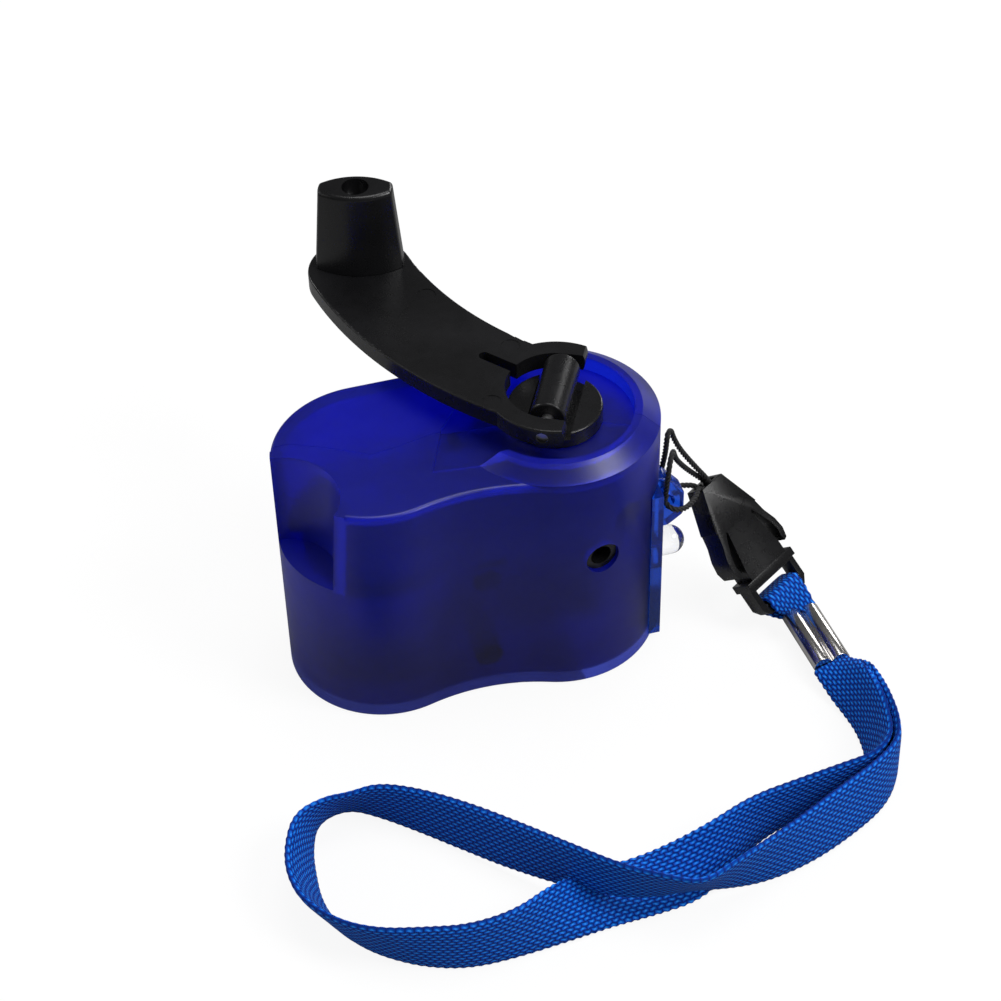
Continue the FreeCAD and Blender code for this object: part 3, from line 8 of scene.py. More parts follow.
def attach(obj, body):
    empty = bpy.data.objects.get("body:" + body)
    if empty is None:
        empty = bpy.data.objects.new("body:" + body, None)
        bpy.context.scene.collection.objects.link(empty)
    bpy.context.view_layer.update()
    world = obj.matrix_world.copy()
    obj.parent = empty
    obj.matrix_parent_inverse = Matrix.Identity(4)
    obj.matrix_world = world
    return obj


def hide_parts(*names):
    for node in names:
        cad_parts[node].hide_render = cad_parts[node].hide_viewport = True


# Hand crank phone charger: camera, lanyard, finishes and light.  Metres, +Z up.  The charger stands on
# the ground at z = 0, with its crank's axis on the z axis.

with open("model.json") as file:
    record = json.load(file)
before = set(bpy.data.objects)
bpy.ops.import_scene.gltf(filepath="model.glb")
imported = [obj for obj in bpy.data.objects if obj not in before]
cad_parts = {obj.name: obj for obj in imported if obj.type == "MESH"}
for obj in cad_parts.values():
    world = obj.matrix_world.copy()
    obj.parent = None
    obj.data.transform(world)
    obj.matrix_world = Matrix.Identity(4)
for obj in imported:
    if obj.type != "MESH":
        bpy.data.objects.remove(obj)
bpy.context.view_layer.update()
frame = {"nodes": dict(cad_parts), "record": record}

MM = 0.001
UP = Vector((0, 0, 1))
WEAVE_FLOAT = 1.35 * MM
WEAVE_ROW = 0.62 * MM


# ---------------------------------------------------------------- camera
def stand_camera():
    """A long lens that looks down on the concave front from its left."""
    sensor, lens = 36.0, 90.28
    look_down, swing, roll = math.radians(43.16), math.radians(-14.5), -0.0266
    stand = (-0.085, -0.292, 0.3117)
    data = bpy.data.cameras.new("studio_camera")
    data.sensor_width = sensor
    data.lens = lens
    camera = bpy.data.objects.new("studio_camera", data)
    bpy.context.collection.objects.link(camera)
    turn = Matrix.Rotation(swing, 4, "Z") @ Matrix.Rotation(math.pi / 2 - look_down, 4, "X")
    turn = turn @ Matrix.Rotation(roll, 4, "Z")
    camera.matrix_world = Matrix.Translation(stand) @ turn
    bpy.context.scene.camera = camera


stand_camera()


# ---------------------------------------------------------------- finishes: small helpers
def add(tree, kind, inputs=(), **settings):
    """Adds a shader node, sets it up and fills its sockets with values or links."""
    made = tree.nodes.new("ShaderNode" + kind)
    for word, value in settings.items():
        setattr(made, word, value)
    for socket, value in dict(inputs).items():
        if isinstance(value, bpy.types.NodeSocket):
            tree.links.new(value, made.inputs[socket])
        else:
            made.inputs[socket].default_value = value
    return made


def new_finish(name, **sockets):
    """A material, its node tree and its shader, with constant values on the shader's own sockets."""
    made = bpy.data.materials.new(name)
    made.use_nodes = True
    tree = made.node_tree
    shader = tree.nodes["Principled BSDF"]
    for socket, value in sockets.items():
        shader.inputs[socket.replace("_", " ")].default_value = value
    return made, tree, shader


def paint(colour):
    return (*colour, 1)


def noise(tree, place, scale, detail=3.0, rough=0.55):
    return add(tree, "TexNoise", {"Vector": place, "Scale": scale, "Detail": detail, "Roughness": rough})


def blend_of(tree, amount, low, high, start=0.35, end=0.65):
    """A colour between two, by how high a pattern is."""
    ramp = add(tree, "ValToRGB", {"Fac": amount})
    ramp.color_ramp.elements[0].position = start
    ramp.color_ramp.elements[0].color = paint(low)
    ramp.color_ramp.elements[1].position = end
    ramp.color_ramp.elements[1].color = paint(high)
    return ramp.outputs["Color"]


def spread(tree, amount, low, high):
    """A number between two, by how high a pattern is."""
    return add(tree, "MapRange", {"Value": amount, "To Min": low, "To Max": high}).outputs["Result"]


def figure(tree, operation, *values):
    """One step of arithmetic on numbers or sockets."""
    return add(tree, "Math", enumerate(values), operation=operation).outputs["Value"]


def swell(tree, count):
    """Rises from 0 to 1 and falls back to 0 between each whole number and the next."""
    off_middle = figure(tree, "SUBTRACT", figure(tree, "FRACT", count), 0.5)
    square = figure(tree, "POWER", figure(tree, "ABSOLUTE", off_middle), 2.0)
    return figure(tree, "SUBTRACT", 1.0, figure(tree, "MULTIPLY", square, 4.0))


def emboss(tree, shader, height, depth, under=None):
    """Raises the surface by a pattern whose full height is so many metres."""
    inputs = {"Height": height, "Distance": depth, "Strength": 1.0}
    if under:
        inputs["Normal"] = under
    made = add(tree, "Bump", inputs)
    tree.links.new(made.outputs["Normal"], shader.inputs["Normal"])
    return made.outputs["Normal"]


def moulded(name, low, high, rough, grain=5200, grain_depth=0.00002, patch=70, **sockets):
    """A moulded or cast finish: slow colour drift, uneven gloss and a fine spark-eroded grain."""
    made, tree, shader = new_finish(name, **sockets)
    place = add(tree, "TexCoord").outputs["Object"]
    drift = noise(tree, place, patch, 4.0)
    tree.links.new(blend_of(tree, drift.outputs["Fac"], low, high), shader.inputs["Base Color"])
    wear = noise(tree, place, patch * 9, 5.0)
    tree.links.new(spread(tree, wear.outputs["Fac"], rough[0], rough[1]), shader.inputs["Roughness"])
    fine = noise(tree, place, grain, 2.0)
    emboss(tree, shader, fine.outputs["Fac"], grain_depth)
    return made


# ---------------------------------------------------------------- finishes of this charger
def smoky_shell_finish():
    """Deep blue see-through plastic with a satin grain, painted darker low down and lighter in the thin
    ring at the top: painted shade from the parts inside and painted light through the ring.
    """
    made, tree, shader = new_finish("smoky_blue_plastic", IOR=1.49, Transmission_Weight=0.9,
                                    Specular_IOR_Level=0.05)
    place = add(tree, "TexCoord").outputs["Object"]
    flow = noise(tree, place, 60, 5.0)
    height = add(tree, "SeparateXYZ", {"Vector": place}).outputs["Z"]
    # Painted shade and light by height: darker low down, lighter up in the thin ring at the top.
    painted_shade_and_light_by_height = add(tree, "MapRange", {"Value": height, "From Min": 0.008, "From Max": 0.034})
    tint = add(tree, "MixRGB", {
        "Fac": painted_shade_and_light_by_height.outputs["Result"],
        "Color1": blend_of(tree, flow.outputs["Fac"], (0.0015, 0.003, 0.20), (0.0025, 0.006, 0.27)),
        "Color2": blend_of(tree, flow.outputs["Fac"], (0.004, 0.014, 0.60), (0.007, 0.022, 0.74)),
    }, blend_type="MIX")
    tree.links.new(tint.outputs["Color"], shader.inputs["Base Color"])
    haze = noise(tree, place, 420, 4.0)
    tree.links.new(spread(tree, haze.outputs["Fac"], 0.30, 0.40), shader.inputs["Roughness"])
    grain = noise(tree, place, 2600, 2.0)
    emboss(tree, shader, grain.outputs["Fac"], 0.000008)
    return made


def clear_panel_finish():
    made, tree, shader = new_finish("clear_blue_plastic", IOR=1.49, Transmission_Weight=0.8,
                                    Specular_IOR_Level=0.4)
    place = add(tree, "TexCoord").outputs["Object"]
    flow = noise(tree, place, 90, 4.0)
    colour = blend_of(tree, flow.outputs["Fac"], (0.006, 0.06, 0.55), (0.012, 0.10, 0.70))
    tree.links.new(colour, shader.inputs["Base Color"])
    haze = noise(tree, place, 600, 4.0)
    tree.links.new(spread(tree, haze.outputs["Fac"], 0.10, 0.24), shader.inputs["Roughness"])
    emboss(tree, shader, haze.outputs["Fac"], 0.00003)
    return made


def lamp_finish():
    made, tree, shader = new_finish("lamp_epoxy", IOR=1.52, Transmission_Weight=1.0)
    place = add(tree, "TexCoord").outputs["Object"]
    cloud = noise(tree, place, 500, 3.0)
    colour = blend_of(tree, cloud.outputs["Fac"], (0.93, 0.94, 0.96), (0.99, 0.99, 1.0))
    tree.links.new(colour, shader.inputs["Base Color"])
    tree.links.new(spread(tree, cloud.outputs["Fac"], 0.01, 0.06), shader.inputs["Roughness"])
    return made


def brushed(name, low, high, rough, along=(1, 1, 30), depth=0.000006):
    """Metal with fine drawn lines along one direction."""
    made, tree, shader = new_finish(name, Metallic=1.0)
    place = add(tree, "TexCoord").outputs["Object"]
    drawn = add(tree, "Mapping", {"Vector": place, "Scale": [900 / part for part in along]})
    lines = noise(tree, drawn.outputs["Vector"], 3.0, 4.0)
    stain = noise(tree, place, 260, 4.0)
    tree.links.new(blend_of(tree, stain.outputs["Fac"], low, high), shader.inputs["Base Color"])
    tree.links.new(spread(tree, lines.outputs["Fac"], rough[0], rough[1]), shader.inputs["Roughness"])
    emboss(tree, shader, lines.outputs["Fac"], depth)
    return made


def webbing_finish():
    """Blue woven webbing: rows of short raised floats, each row half a float along from the last, with
    painted highlights on the floats and painted shade between them.
    """
    made, tree, shader = new_finish("blue_webbing", Sheen_Weight=0.02, Sheen_Roughness=0.4,
                                    Specular_IOR_Level=0.12)
    strip = add(tree, "UVMap", uv_map="weave").outputs["UV"]
    parts = add(tree, "SeparateXYZ", {"Vector": strip})
    across = figure(tree, "DIVIDE", parts.outputs["Y"], WEAVE_ROW)
    shift = figure(tree, "MULTIPLY", figure(tree, "FLOOR", across), 0.5)
    along = figure(tree, "ADD", figure(tree, "DIVIDE", parts.outputs["X"], WEAVE_FLOAT), shift)
    height = figure(tree, "MULTIPLY", swell(tree, along), swell(tree, across))
    # Painted highlight and shade: each float's colour is lighter at its crown and darker in the gaps
    # between floats.
    ramp = add(tree, "ValToRGB", {"Fac": height})
    float_shine_and_gap_shade = ramp.color_ramp.elements
    float_shine_and_gap_shade[0].color = paint((0.0, 0.010, 0.13))
    float_shine_and_gap_shade[1].color = paint((0.03, 0.33, 0.98))
    float_shine_and_gap_shade.new(0.4).color = paint((0.0, 0.058, 0.45))
    float_shine_and_gap_shade.new(0.8).color = paint((0.002, 0.155, 0.76))
    slow = noise(tree, strip, 320, 4.0)
    dusty = add(tree, "MixRGB", {
        "Fac": spread(tree, slow.outputs["Fac"], 0.0, 0.3), "Color1": ramp.outputs["Color"],
        "Color2": paint((0.0, 0.036, 0.27)),
    }, blend_type="MIX")
    tree.links.new(dusty.outputs["Color"], shader.inputs["Base Color"])
    drawn = add(tree, "Mapping", {"Vector": strip, "Scale": (1400, 9000, 1)})
    fibres = noise(tree, drawn.outputs["Vector"], 1.0, 3.0)
    tree.links.new(spread(tree, fibres.outputs["Fac"], 0.5, 0.75), shader.inputs["Roughness"])
    floats = emboss(tree, shader, height, 0.0002)
    emboss(tree, shader, fibres.outputs["Fac"], 0.00002, under=floats)
    return made


def cord_finish():
    """Black twisted thread; its strands are modelled, its fibres are not."""
    made, tree, shader = new_finish("black_cord", Sheen_Weight=0.1, Sheen_Roughness=0.5)
    place = add(tree, "TexCoord").outputs["Object"]
    fibres = noise(tree, place, 7000, 4.0)
    colour = blend_of(tree, fibres.outputs["Fac"], (0.002, 0.002, 0.0025), (0.009, 0.009, 0.010))
    tree.links.new(colour, shader.inputs["Base Color"])
    tree.links.new(spread(tree, fibres.outputs["Fac"], 0.55, 0.8), shader.inputs["Roughness"])
    emboss(tree, shader, fibres.outputs["Fac"], 0.00004)
    return made


def laminate_finish():
    """Board with solder mask over copper tracks."""
    made, tree, shader = new_finish("board_laminate", Coat_Weight=0.4)
    place = add(tree, "TexCoord").outputs["Object"]
    tracks = add(tree, "TexBrick", {
        "Vector": place, "Scale": 1.0, "Mortar Size": 0.00035, "Mortar Smooth": 0.2,
        "Brick Width": 0.0052, "Row Height": 0.0021, "Color1": paint((0.01, 0.14, 0.05)),
        "Color2": paint((0.012, 0.17, 0.06)), "Mortar": paint((0.03, 0.27, 0.10)),
    })
    tree.links.new(tracks.outputs["Color"], shader.inputs["Base Color"])
    cloth = noise(tree, place, 2500, 2.0)
    tree.links.new(spread(tree, cloth.outputs["Fac"], 0.25, 0.45), shader.inputs["Roughness"])
    emboss(tree, shader, cloth.outputs["Fac"], 0.00002)
    return made


def winding_finish():
    """Enamelled wire laid in turns round the coil, painted lighter on each turn and darker between turns as
    painted highlight and shade.
    """
    made, tree, shader = new_finish("copper_winding", Metallic=1.0, Coat_Weight=0.6)
    place = add(tree, "TexCoord").outputs["Object"]
    turns = add(tree, "TexWave", {"Vector": place, "Scale": 900, "Distortion": 0.6, "Detail": 1.0},
                bands_direction="Z")
    # Painted highlight and shade: the copper colour follows the turns, lighter on their crowns and darker
    # in the grooves.
    tree.links.new(blend_of(tree, turns.outputs["Fac"], (0.35, 0.09, 0.03), (0.78, 0.30, 0.12)),
                   shader.inputs["Base Color"])
    tree.links.new(spread(tree, turns.outputs["Fac"], 0.45, 0.25), shader.inputs["Roughness"])
    emboss(tree, shader, turns.outputs["Fac"], 0.0001)
    return made


finishes = {
    "smoky_blue_plastic": smoky_shell_finish(),
    "clear_blue_plastic": clear_panel_finish(),
    "gloss_black_plastic": moulded("gloss_black_plastic", (0.004, 0.004, 0.0045), (0.008, 0.008, 0.009),
                                   (0.22, 0.34), Specular_IOR_Level=0.4),
    "lamp_epoxy": lamp_finish(),
    "tinned_wire": brushed("tinned_wire", (0.62, 0.62, 0.60), (0.78, 0.78, 0.76), (0.2, 0.4)),
    "port_steel": brushed("port_steel", (0.60, 0.60, 0.60), (0.72, 0.72, 0.72), (0.22, 0.4)),
    "white_plastic": moulded("white_plastic", (0.72, 0.72, 0.70), (0.80, 0.80, 0.78), (0.35, 0.5)),
    "board_laminate": laminate_finish(),
    "capacitor_sleeve": moulded("capacitor_sleeve", (0.010, 0.012, 0.03), (0.016, 0.02, 0.05), (0.25, 0.4)),
    "gear_nylon": moulded("gear_nylon", (0.020, 0.020, 0.022), (0.035, 0.035, 0.038), (0.4, 0.55)),
    "plate_plastic": moulded("plate_plastic", (0.03, 0.03, 0.034), (0.05, 0.05, 0.055), (0.4, 0.6)),
    "brass": brushed("brass", (0.62, 0.42, 0.14), (0.74, 0.53, 0.20), (0.2, 0.38)),
    "steel": brushed("steel", (0.52, 0.52, 0.53), (0.66, 0.66, 0.67), (0.22, 0.4)),
    "copper_winding": winding_finish(),
    "magnet_ferrite": moulded("magnet_ferrite", (0.03, 0.03, 0.032), (0.06, 0.06, 0.062), (0.5, 0.7),
                              grain=1800, grain_depth=0.00006),
    "wire_sleeve": moulded("wire_sleeve", (0.40, 0.02, 0.015), (0.55, 0.035, 0.025), (0.35, 0.5)),
    "nickel": brushed("nickel", (0.58, 0.56, 0.54), (0.72, 0.70, 0.68), (0.12, 0.26)),
    "black_cord": cord_finish(),
    "blue_webbing": webbing_finish(),
}


def slot_of(node):
    for piece in frame["record"]["subparts"]:
        if piece["node"] == node:
            return piece["material_slot"]
    raise KeyError(node)


def dress_nodes():
    """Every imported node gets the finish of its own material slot."""
    for name, thing in frame["nodes"].items():
        thing.data.materials.clear()
        thing.data.materials.append(finishes[slot_of(name)])


dress_nodes()


# ---------------------------------------------------------------- lanyard: lines and bands
def smooth_line(points):
    """The places along an open NURBS spline whose control points are a route's points."""
    data = bpy.data.curves.new("route_line", "CURVE")
    data.dimensions = "3D"
    data.resolution_u = 16
    spline = data.splines.new("NURBS")
    spline.points.add(len(points) - 1)
    for point, place in zip(spline.points, points):
        point.co = (*place, 1)
    spline.order_u = 3
    spline.use_endpoint_u = True
    line = bpy.data.objects.new("route_line", data)
    bpy.context.collection.objects.link(line)
    mesh = bpy.data.meshes.new_from_object(line)
    places = [corner.co.copy() for corner in mesh.vertices]
    bpy.data.objects.remove(line)
    bpy.data.meshes.remove(mesh)
    bpy.data.curves.remove(data)
    return places


def marks_along(places):
    """How far along the line each of its places is."""
    marks = [0.0]
    for first, second in zip(places, places[1:]):
        marks.append(marks[-1] + (second - first).length)
    return marks


def evenly(places, marks, count):
    """The places at equal steps of the marks."""
    found = []
    k = 0
    for i in range(count + 1):
        along = marks[-1] * i / count
        while k < len(marks) - 2 and marks[k + 1] < along:
            k += 1
        share = (along - marks[k]) / max(marks[k + 1] - marks[k], 1e-9)
        found.append(places[k].lerp(places[k + 1], share))
    return found


def runs_along(places):
    """The direction of travel at each place."""
    last = len(places) - 1
    return [(places[min(i + 1, last)] - places[max(i - 1, 0)]).normalized() for i in range(last + 1)]


def mesh_piece(name, corners, faces, slot):
    data = bpy.data.meshes.new(name)
    data.from_pydata(corners, [], faces)
    data.update()
    piece = bpy.data.objects.new(name, data)
    bpy.context.collection.objects.link(piece)
    piece.data.materials.append(finishes[slot])
    for face in data.polygons:
        face.use_smooth = True
    return piece


def skin(rings, offset=0):
    """Faces that join rings of corners in a row, with both ends closed."""
    count = len(rings[0])
    faces = []
    for i in range(len(rings) - 1):
        for j in range(count):
            k = (j + 1) % count
            first, second = offset + i * count, offset + (i + 1) * count
            faces.append((first + j, first + k, second + k, second + j))
    faces.append(tuple(offset + j for j in reversed(range(count))))
    faces.append(tuple(offset + (len(rings) - 1) * count + j for j in range(count)))
    return faces


# ---------------------------------------------------------------- lanyard: strings
string_routes = {
    "lanyard_string_upper": (
        (0.02853, -0.00186, 0.02079), (0.02690, 0.00020, 0.02360), (0.02490, -0.00010, 0.02670),
        (0.02290, -0.00050, 0.03000), (0.02110, -0.00090, 0.03320), (0.01980, -0.00130, 0.03630),
        (0.01925, -0.00160, 0.03840), (0.01845, -0.00230, 0.03855), (0.01815, -0.00270, 0.03700),
        (0.01820, -0.00200, 0.03360), (0.01800, -0.00130, 0.03040), (0.01730, -0.00220, 0.02790),
        (0.01700, -0.00460, 0.02750), (0.01680, -0.00700, 0.02830), (0.01660, -0.00770, 0.03100),
        (0.01680, -0.00780, 0.03420), (0.01740, -0.00700, 0.03690), (0.01840, -0.00540, 0.03720),
        (0.01900, -0.00390, 0.03540), (0.02000, -0.00250, 0.03240), (0.02220, -0.00090, 0.02860),
        (0.02460, 0.00040, 0.02520), (0.02660, 0.00090, 0.02280), (0.02817, -0.00102, 0.01996),
    ),
    "lanyard_string_lower": (
        (0.02735, -0.00258, 0.02058), (0.02520, -0.00050, 0.02380), (0.02320, -0.00390, 0.02410),
        (0.02090, -0.00640, 0.02480), (0.01880, -0.00750, 0.02570), (0.01740, -0.00690, 0.02630),
        (0.01730, -0.00460, 0.02640), (0.01770, -0.00220, 0.02610), (0.02000, -0.00100, 0.02500),
        (0.02270, -0.00030, 0.02400), (0.02520, 0.00030, 0.02260), (0.02698, -0.00182, 0.01987),
    ),
}
STRING_RADIUS = 0.5 * MM
STRING_STEP = 0.16 * MM
STRAND_COUNT = 3
STRAND_SIDES = 7
STRAND_RADIUS = 0.28 * MM
STRAND_TURN = 2.6 * MM


def around(first, second, angle):
    """The direction at an angle in the plane of two directions."""
    return first * math.cos(angle) + second * math.sin(angle)


def twisted_string(name, points):
    """Three strands twisted together along a route."""
    places = smooth_line(points)
    marks = marks_along(places)
    count = int(marks[-1] / STRING_STEP)
    spots = evenly(places, marks, count)
    side = UP.cross(spots[1] - spots[0]).normalized()
    corners, faces = [], []
    sides = []
    for run in runs_along(spots):
        side = (side - run * side.dot(run)).normalized()
        sides.append((side.copy(), run.cross(side)))
    for strand in range(STRAND_COUNT):
        rings = []
        for i, spot in enumerate(spots):
            first, second = sides[i]
            turn = math.tau * (strand / STRAND_COUNT + marks[-1] * i / count / STRAND_TURN)
            heart = spot + around(first, second, turn) * (STRING_RADIUS - STRAND_RADIUS)
            angles = [math.tau * k / STRAND_SIDES for k in range(STRAND_SIDES)]
            rings.append([heart + around(first, second, angle) * STRAND_RADIUS for angle in angles])
        faces += skin(rings, len(corners))
        corners += [corner for ring in rings for corner in ring]
    piece = mesh_piece(name, corners, faces, "black_cord")
    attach(piece, "housing")
    return piece, spots, marks[-1]


for name, route in string_routes.items():
    string, spots, length = twisted_string(name + "_twist", route)
    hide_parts(name)


# ---------------------------------------------------------------- lanyard: webbing
STRAP_THICK = 1.2 * MM
GROUND_GAP = 0.2 * MM
# each station of the strap: x, y, its lean to the left in degrees, its lift off the ground and its width
strap_stations = (
    (0.0396, -0.0282, 80, 0.0019, 0.0065), (0.0403, -0.0329, 40, 0.0005, 0.0086),
    (0.0409, -0.0369, 28, 0.0000, 0.0096), (0.0411, -0.0411, 22, 0.0000, 0.0100),
    (0.0407, -0.0452, 20, 0.0000, 0.0100), (0.0397, -0.0495, 20, 0.0000, 0.0100),
    (0.0366, -0.0528, 11, 0.0000, 0.0100), (0.0305, -0.0544, 1, 0.0000, 0.0100),
    (0.0232, -0.0555, 0, 0.0000, 0.0100), (0.0153, -0.0574, -10, 0.0000, 0.0100),
    (0.0087, -0.0610, -26, 0.0000, 0.0100), (0.0028, -0.0628, -56, 0.0000, 0.0100),
    (-0.0040, -0.0628, -76, 0.0000, 0.0100), (-0.0122, -0.0632, -74, 0.0000, 0.0100),
    (-0.0190, -0.0661, -30, 0.0000, 0.0100), (-0.0260, -0.0682, -8, 0.0000, 0.0100),
    (-0.0337, -0.0686, -3, 0.0000, 0.0100), (-0.0403, -0.0668, 1, 0.0000, 0.0100),
    (-0.0463, -0.0642, 13, 0.0000, 0.0100), (-0.0510, -0.0604, 22, 0.0000, 0.0100),
    (-0.0544, -0.0549, 29, 0.0000, 0.0100), (-0.0553, -0.0500, 29, 0.0000, 0.0100),
    (-0.0548, -0.0454, 25, 0.0000, 0.0100), (-0.0532, -0.0400, 12, 0.0000, 0.0100),
    (-0.0496, -0.0362, -20, 0.0000, 0.0100), (-0.0450, -0.0354, -28, 0.0000, 0.0100),
    (-0.0404, -0.0369, -8, 0.0000, 0.0100), (-0.0349, -0.0405, 3, 0.0000, 0.0100),
    (-0.0287, -0.0459, 10, 0.0002, 0.0100), (-0.0224, -0.0524, 11, 0.0009, 0.0100),
    (-0.0153, -0.0602, 3, 0.0026, 0.0100), (-0.0089, -0.0659, -9, 0.0035, 0.0100),
    (-0.0033, -0.0680, -20, 0.0033, 0.0100), (0.0020, -0.0687, -35, 0.0025, 0.0100),
    (0.0080, -0.0676, -14, 0.0013, 0.0100), (0.0145, -0.0659, 3, 0.0003, 0.0100),
    (0.0224, -0.0632, 15, 0.0000, 0.0100), (0.0302, -0.0596, 19, 0.0000, 0.0100),
    (0.0371, -0.0562, 14, 0.0000, 0.0100), (0.0416, -0.0520, 2, 0.0000, 0.0100),
    (0.0429, -0.0476, -3, 0.0000, 0.0100), (0.0428, -0.0425, -12, 0.0000, 0.0100),
    (0.0423, -0.0375, -22, 0.0000, 0.0096), (0.0415, -0.0330, -36, 0.0005, 0.0086),
    (0.0400, -0.0281, -80, 0.0007, 0.0063),
)


def strap_edges(stations):
    """The control points of the band's lower and upper edges."""
    low, high = [], []
    last = len(stations) - 1
    for i, (x, y, lean, lift, width) in enumerate(stations):
        before, after = stations[max(i - 1, 0)], stations[min(i + 1, last)]
        run = Vector((after[0] - before[0], after[1] - before[1], 0)).normalized()
        tilt = math.radians(lean)
        across = UP * math.cos(tilt) + UP.cross(run) * math.sin(tilt)
        rise = (width * abs(math.cos(tilt)) + STRAP_THICK * abs(math.sin(tilt))) / 2
        middle = Vector((x, y, GROUND_GAP + lift + rise))
        low.append(middle - across * width / 2)
        high.append(middle + across * width / 2)
    return low, high


def band(name, low, high, thick, step=0.25 * MM, pitch=1.3 * MM, scallop=0.10 * MM):
    """Webbing between two edge lines, with a rounded, slightly scalloped selvedge and a weave map."""
    middle = [(a + b) / 2 for a, b in zip(low, high)]
    marks = marks_along(middle)
    count = int(marks[-1] / step)
    low, high, middle = (evenly(line, marks, count) for line in (low, high, middle))
    runs = runs_along(middle)
    shares = (-1, -0.97, -0.9, -0.7, -0.4, -0.1, 0.1, 0.4, 0.7, 0.9, 0.97, 1)
    flatness = 6
    rings, strips = [], []
    for i in range(count + 1):
        reach = (high[i] - low[i]) / 2
        along = marks[-1] * i / count
        grown = 1 + scallop * math.sin(math.tau * along / pitch) / reach.length
        outward = runs[i].cross(reach).normalized()
        ring, strip = [], []
        for side in (1, -1):
            for share in (shares if side > 0 else shares[::-1]):
                if side < 0 and abs(share) == 1:
                    continue
                depth = thick / 2 * (1 - abs(share) ** flatness) ** 0.5
                ring.append(middle[i] + reach * share * grown + outward * side * depth)
                strip.append((along, share * reach.length))
        rings.append(ring)
        strips.append(strip)
    corners = [corner for ring in rings for corner in ring]
    places = [place for strip in strips for place in strip]
    piece = mesh_piece(name, corners, skin(rings), "blue_webbing")
    weave = piece.data.uv_layers.new(name="weave")
    for corner in piece.data.loops:
        weave.data[corner.index].uv = places[corner.vertex_index]
    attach(piece, "housing")
    return piece, middle, marks[-1]


strap_low, strap_high = strap_edges(strap_stations)
strap, strap_line, strap_length = band("wrist_strap_webbing", smooth_line(strap_low),
                                       smooth_line(strap_high), STRAP_THICK)
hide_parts("wrist_strap")


# ---------------------------------------------------------------- lanyard: stub of webbing
BUCKLE_MOUTH = Vector((26.2, 0.2, 23.0)) * MM
BUCKLE_RUN = Vector((0.42, -0.54, -0.73)).normalized()
BUCKLE_WIDTH = Vector((0.858, 0.497, 0.125)).normalized()
BUCKLE_OUT = BUCKLE_RUN.cross(BUCKLE_WIDTH)
BAR_FAR = 24.6 * MM
BAR_NEAR = 22.6 * MM
BAR_HALF = 1.7 * MM
FERRULE_START = Vector((38.8, -15.4, 3.5)) * MM
FERRULE_RUN = Vector((1.1, -12.6, -0.2))
FERRULE_SIDE = UP.cross(FERRULE_RUN).normalized()
FERRULE_HALF = 3.0 * MM
STUB_THICK = 0.9 * MM
STUB_HALF = 3.9 * MM
STUB_CLEAR = 0.15 * MM
STUB_PAST_BAR = 0.3 * MM


def stub_edges():
    """Both edges of the webbing that leaves the ferrule, turns round the frame's bar and comes back."""
    layer = STUB_THICK / 2 + STUB_CLEAR
    slant = layer * math.sin(math.pi / 4)
    face = BAR_HALF + layer
    turn = [(BAR_FAR + STUB_PAST_BAR, face), (BAR_NEAR, face), (BAR_NEAR - slant, BAR_HALF + slant),
            (BAR_NEAR - layer, BAR_HALF)]
    turn += [(BAR_NEAR - layer, 0)] + [(along, -off) for along, off in reversed(turn)]
    middle = [BUCKLE_MOUTH + BUCKLE_RUN * along + BUCKLE_OUT * off for along, off in turn]
    low = [place - BUCKLE_WIDTH * STUB_HALF for place in middle]
    high = [place + BUCKLE_WIDTH * STUB_HALF for place in middle]
    first, last = FERRULE_START + UP * layer, FERRULE_START - UP * layer
    reach = FERRULE_SIDE * FERRULE_HALF
    return [first - reach, *low, last - reach], [first + reach, *high, last + reach]


stub_low, stub_high = stub_edges()
stub = band("strap_stub_webbing", smooth_line(stub_low), smooth_line(stub_high), STUB_THICK)[0]
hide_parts("strap_stub")


# ---------------------------------------------------------------- lanyard: moulded and pressed parts
def softened(node, width):
    """A moulded or pressed part shown with the small round edges it leaves its mould or die with."""
    weld, flat, sharp, smooth = 0.001 * MM, math.radians(0.5), math.radians(40), math.radians(35)
    source = frame["nodes"][node]
    data = source.data.copy()
    data.transform(source.matrix_world)
    piece = bpy.data.objects.new(node + "_soft", data)
    bpy.context.collection.objects.link(piece)
    bpy.ops.object.select_all(action="DESELECT")
    piece.select_set(True)
    bpy.context.view_layer.objects.active = piece
    bpy.ops.object.mode_set(mode="EDIT")
    bpy.ops.mesh.select_all(action="SELECT")
    bpy.ops.mesh.remove_doubles(threshold=weld)
    bpy.ops.mesh.dissolve_limited(angle_limit=flat)
    bpy.ops.object.mode_set(mode="OBJECT")
    edge = piece.modifiers.new("round_edges", "BEVEL")
    edge.width = width
    edge.segments = 3
    edge.limit_method = "ANGLE"
    edge.angle_limit = sharp
    edge.use_clamp_overlap = True
    bpy.ops.object.modifier_apply(modifier=edge.name)
    bpy.ops.object.shade_smooth_by_angle(angle=smooth)
    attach(piece, "housing")
    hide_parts(node)


softened("buckle_socket", 0.35 * MM)
softened("buckle_plug", 0.35 * MM)
softened("strap_ferrule", 0.15 * MM)


# ---------------------------------------------------------------- studio
def looked_at(tree, seen):
    """1 where a thing is seen straight or through clear plastic, and 0 to every other ray."""
    return figure(tree, "MAXIMUM", seen.outputs["Is Camera Ray"], seen.outputs["Is Transmission Ray"])


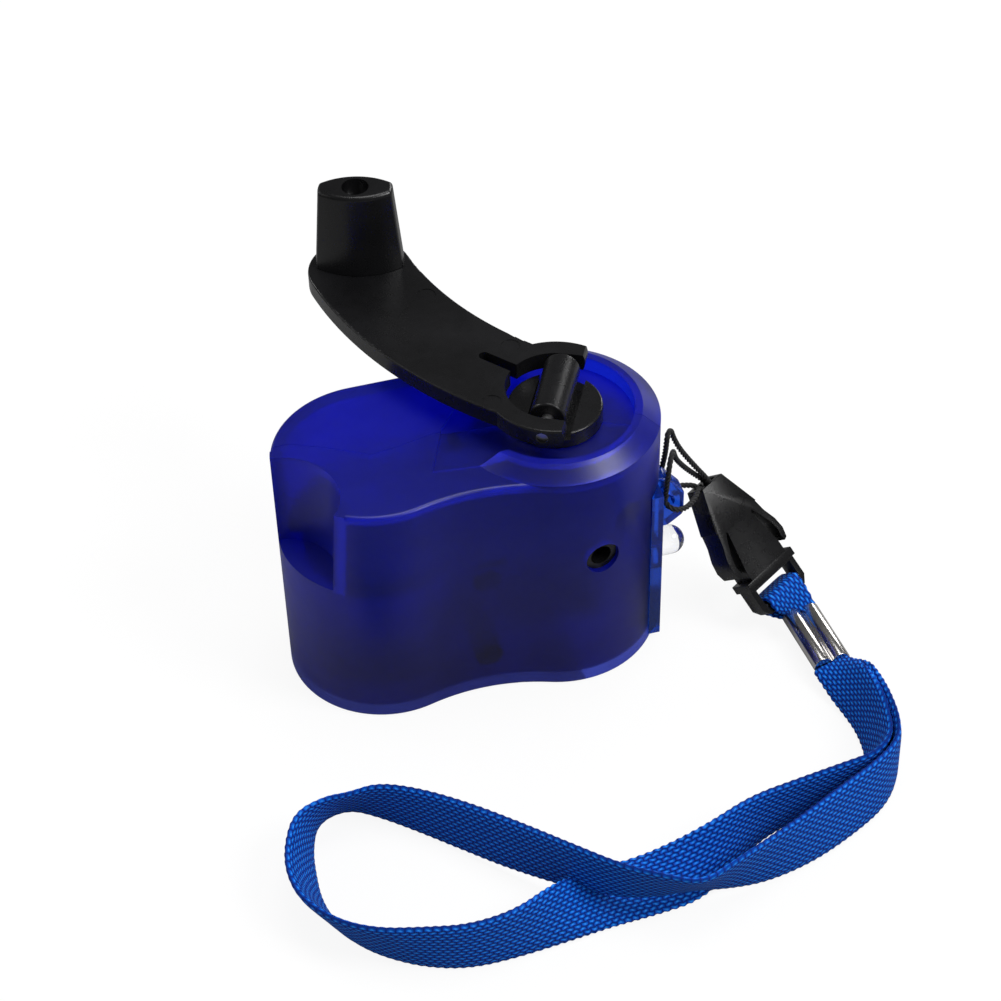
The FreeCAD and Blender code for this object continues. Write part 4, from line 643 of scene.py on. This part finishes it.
def lay_floor():
    """A sheet on the ground, white where it is looked at and grey to the light, with a soft shadow."""
    made, tree, shader = new_finish("white_paper", Roughness=0.9, Specular_IOR_Level=0.1)
    pale_to_light, pale_to_eye, glow_share = 0.30, 0.95, 0.90
    straight = looked_at(tree, add(tree, "LightPath"))
    tree.links.new(spread(tree, straight, pale_to_light, pale_to_eye), shader.inputs["Base Color"])
    glow = add(tree, "Emission", {"Color": paint((1, 1, 1)), "Strength": 1.0})
    share = figure(tree, "MULTIPLY", straight, glow_share)
    mixed = add(tree, "MixShader", {0: share, 1: shader.outputs["BSDF"], 2: glow.outputs["Emission"]})
    tree.links.new(mixed.outputs["Shader"], tree.nodes["Material Output"].inputs["Surface"])
    reach = 2.0
    data = bpy.data.meshes.new("studio_floor")
    data.from_pydata([(-reach, -reach, 0), (reach, -reach, 0), (reach, reach, 0), (-reach, reach, 0)], [],
                     [(0, 1, 2, 3)])
    floor = bpy.data.objects.new("studio_floor", data)
    bpy.context.collection.objects.link(floor)
    data.materials.append(made)


def light_world():
    """White where it is looked at or through, a soft even light on the object, and dim in its gloss."""
    world = bpy.data.worlds.new("studio")
    bpy.context.scene.world = world
    world.use_nodes = True
    tree = world.node_tree
    seen = add(tree, "LightPath")
    light_on_object, light_in_gloss = 0.42, 0.10
    soft = spread(tree, seen.outputs["Is Glossy Ray"], light_on_object, light_in_gloss)
    strength = add(tree, "MapRange", {"Value": looked_at(tree, seen), "To Min": soft, "To Max": 1.0})
    back = tree.nodes["Background"]
    back.inputs["Color"].default_value = paint((1, 1, 1))
    tree.links.new(strength.outputs["Result"], back.inputs["Strength"])


def hang_lamp(name, place, target, size, power):
    data = bpy.data.lights.new(name, "AREA")
    data.shape = "DISK"
    data.size = size
    data.energy = power
    lamp = bpy.data.objects.new(name, data)
    bpy.context.collection.objects.link(lamp)
    aim = (Vector(target) - Vector(place)).to_track_quat("-Z", "Y")
    lamp.matrix_world = Matrix.Translation(place) @ aim.to_matrix().to_4x4()


lay_floor()
light_world()
hang_lamp("key_lamp", (0.45, -0.35, 0.65), (0, 0, 0.03), 0.35, 3.8)
hang_lamp("side_lamp", (-0.65, 0.1, 0.45), (0, 0, 0.03), 0.5, 0.5)
hang_lamp("top_lamp", (0.12, 0.1, 0.95), (0, 0, 0.03), 0.5, 3.0)
hang_lamp("right_rear_lamp", (0.62, 0.58, 0.32), (0, 0, 0.02), 0.3, 1.5)
hang_lamp("left_rear_lamp", (-0.60, 0.58, 0.40), (0, 0, 0.02), 0.3, 1.2)

bpy.context.scene.view_settings.view_transform = "Standard"
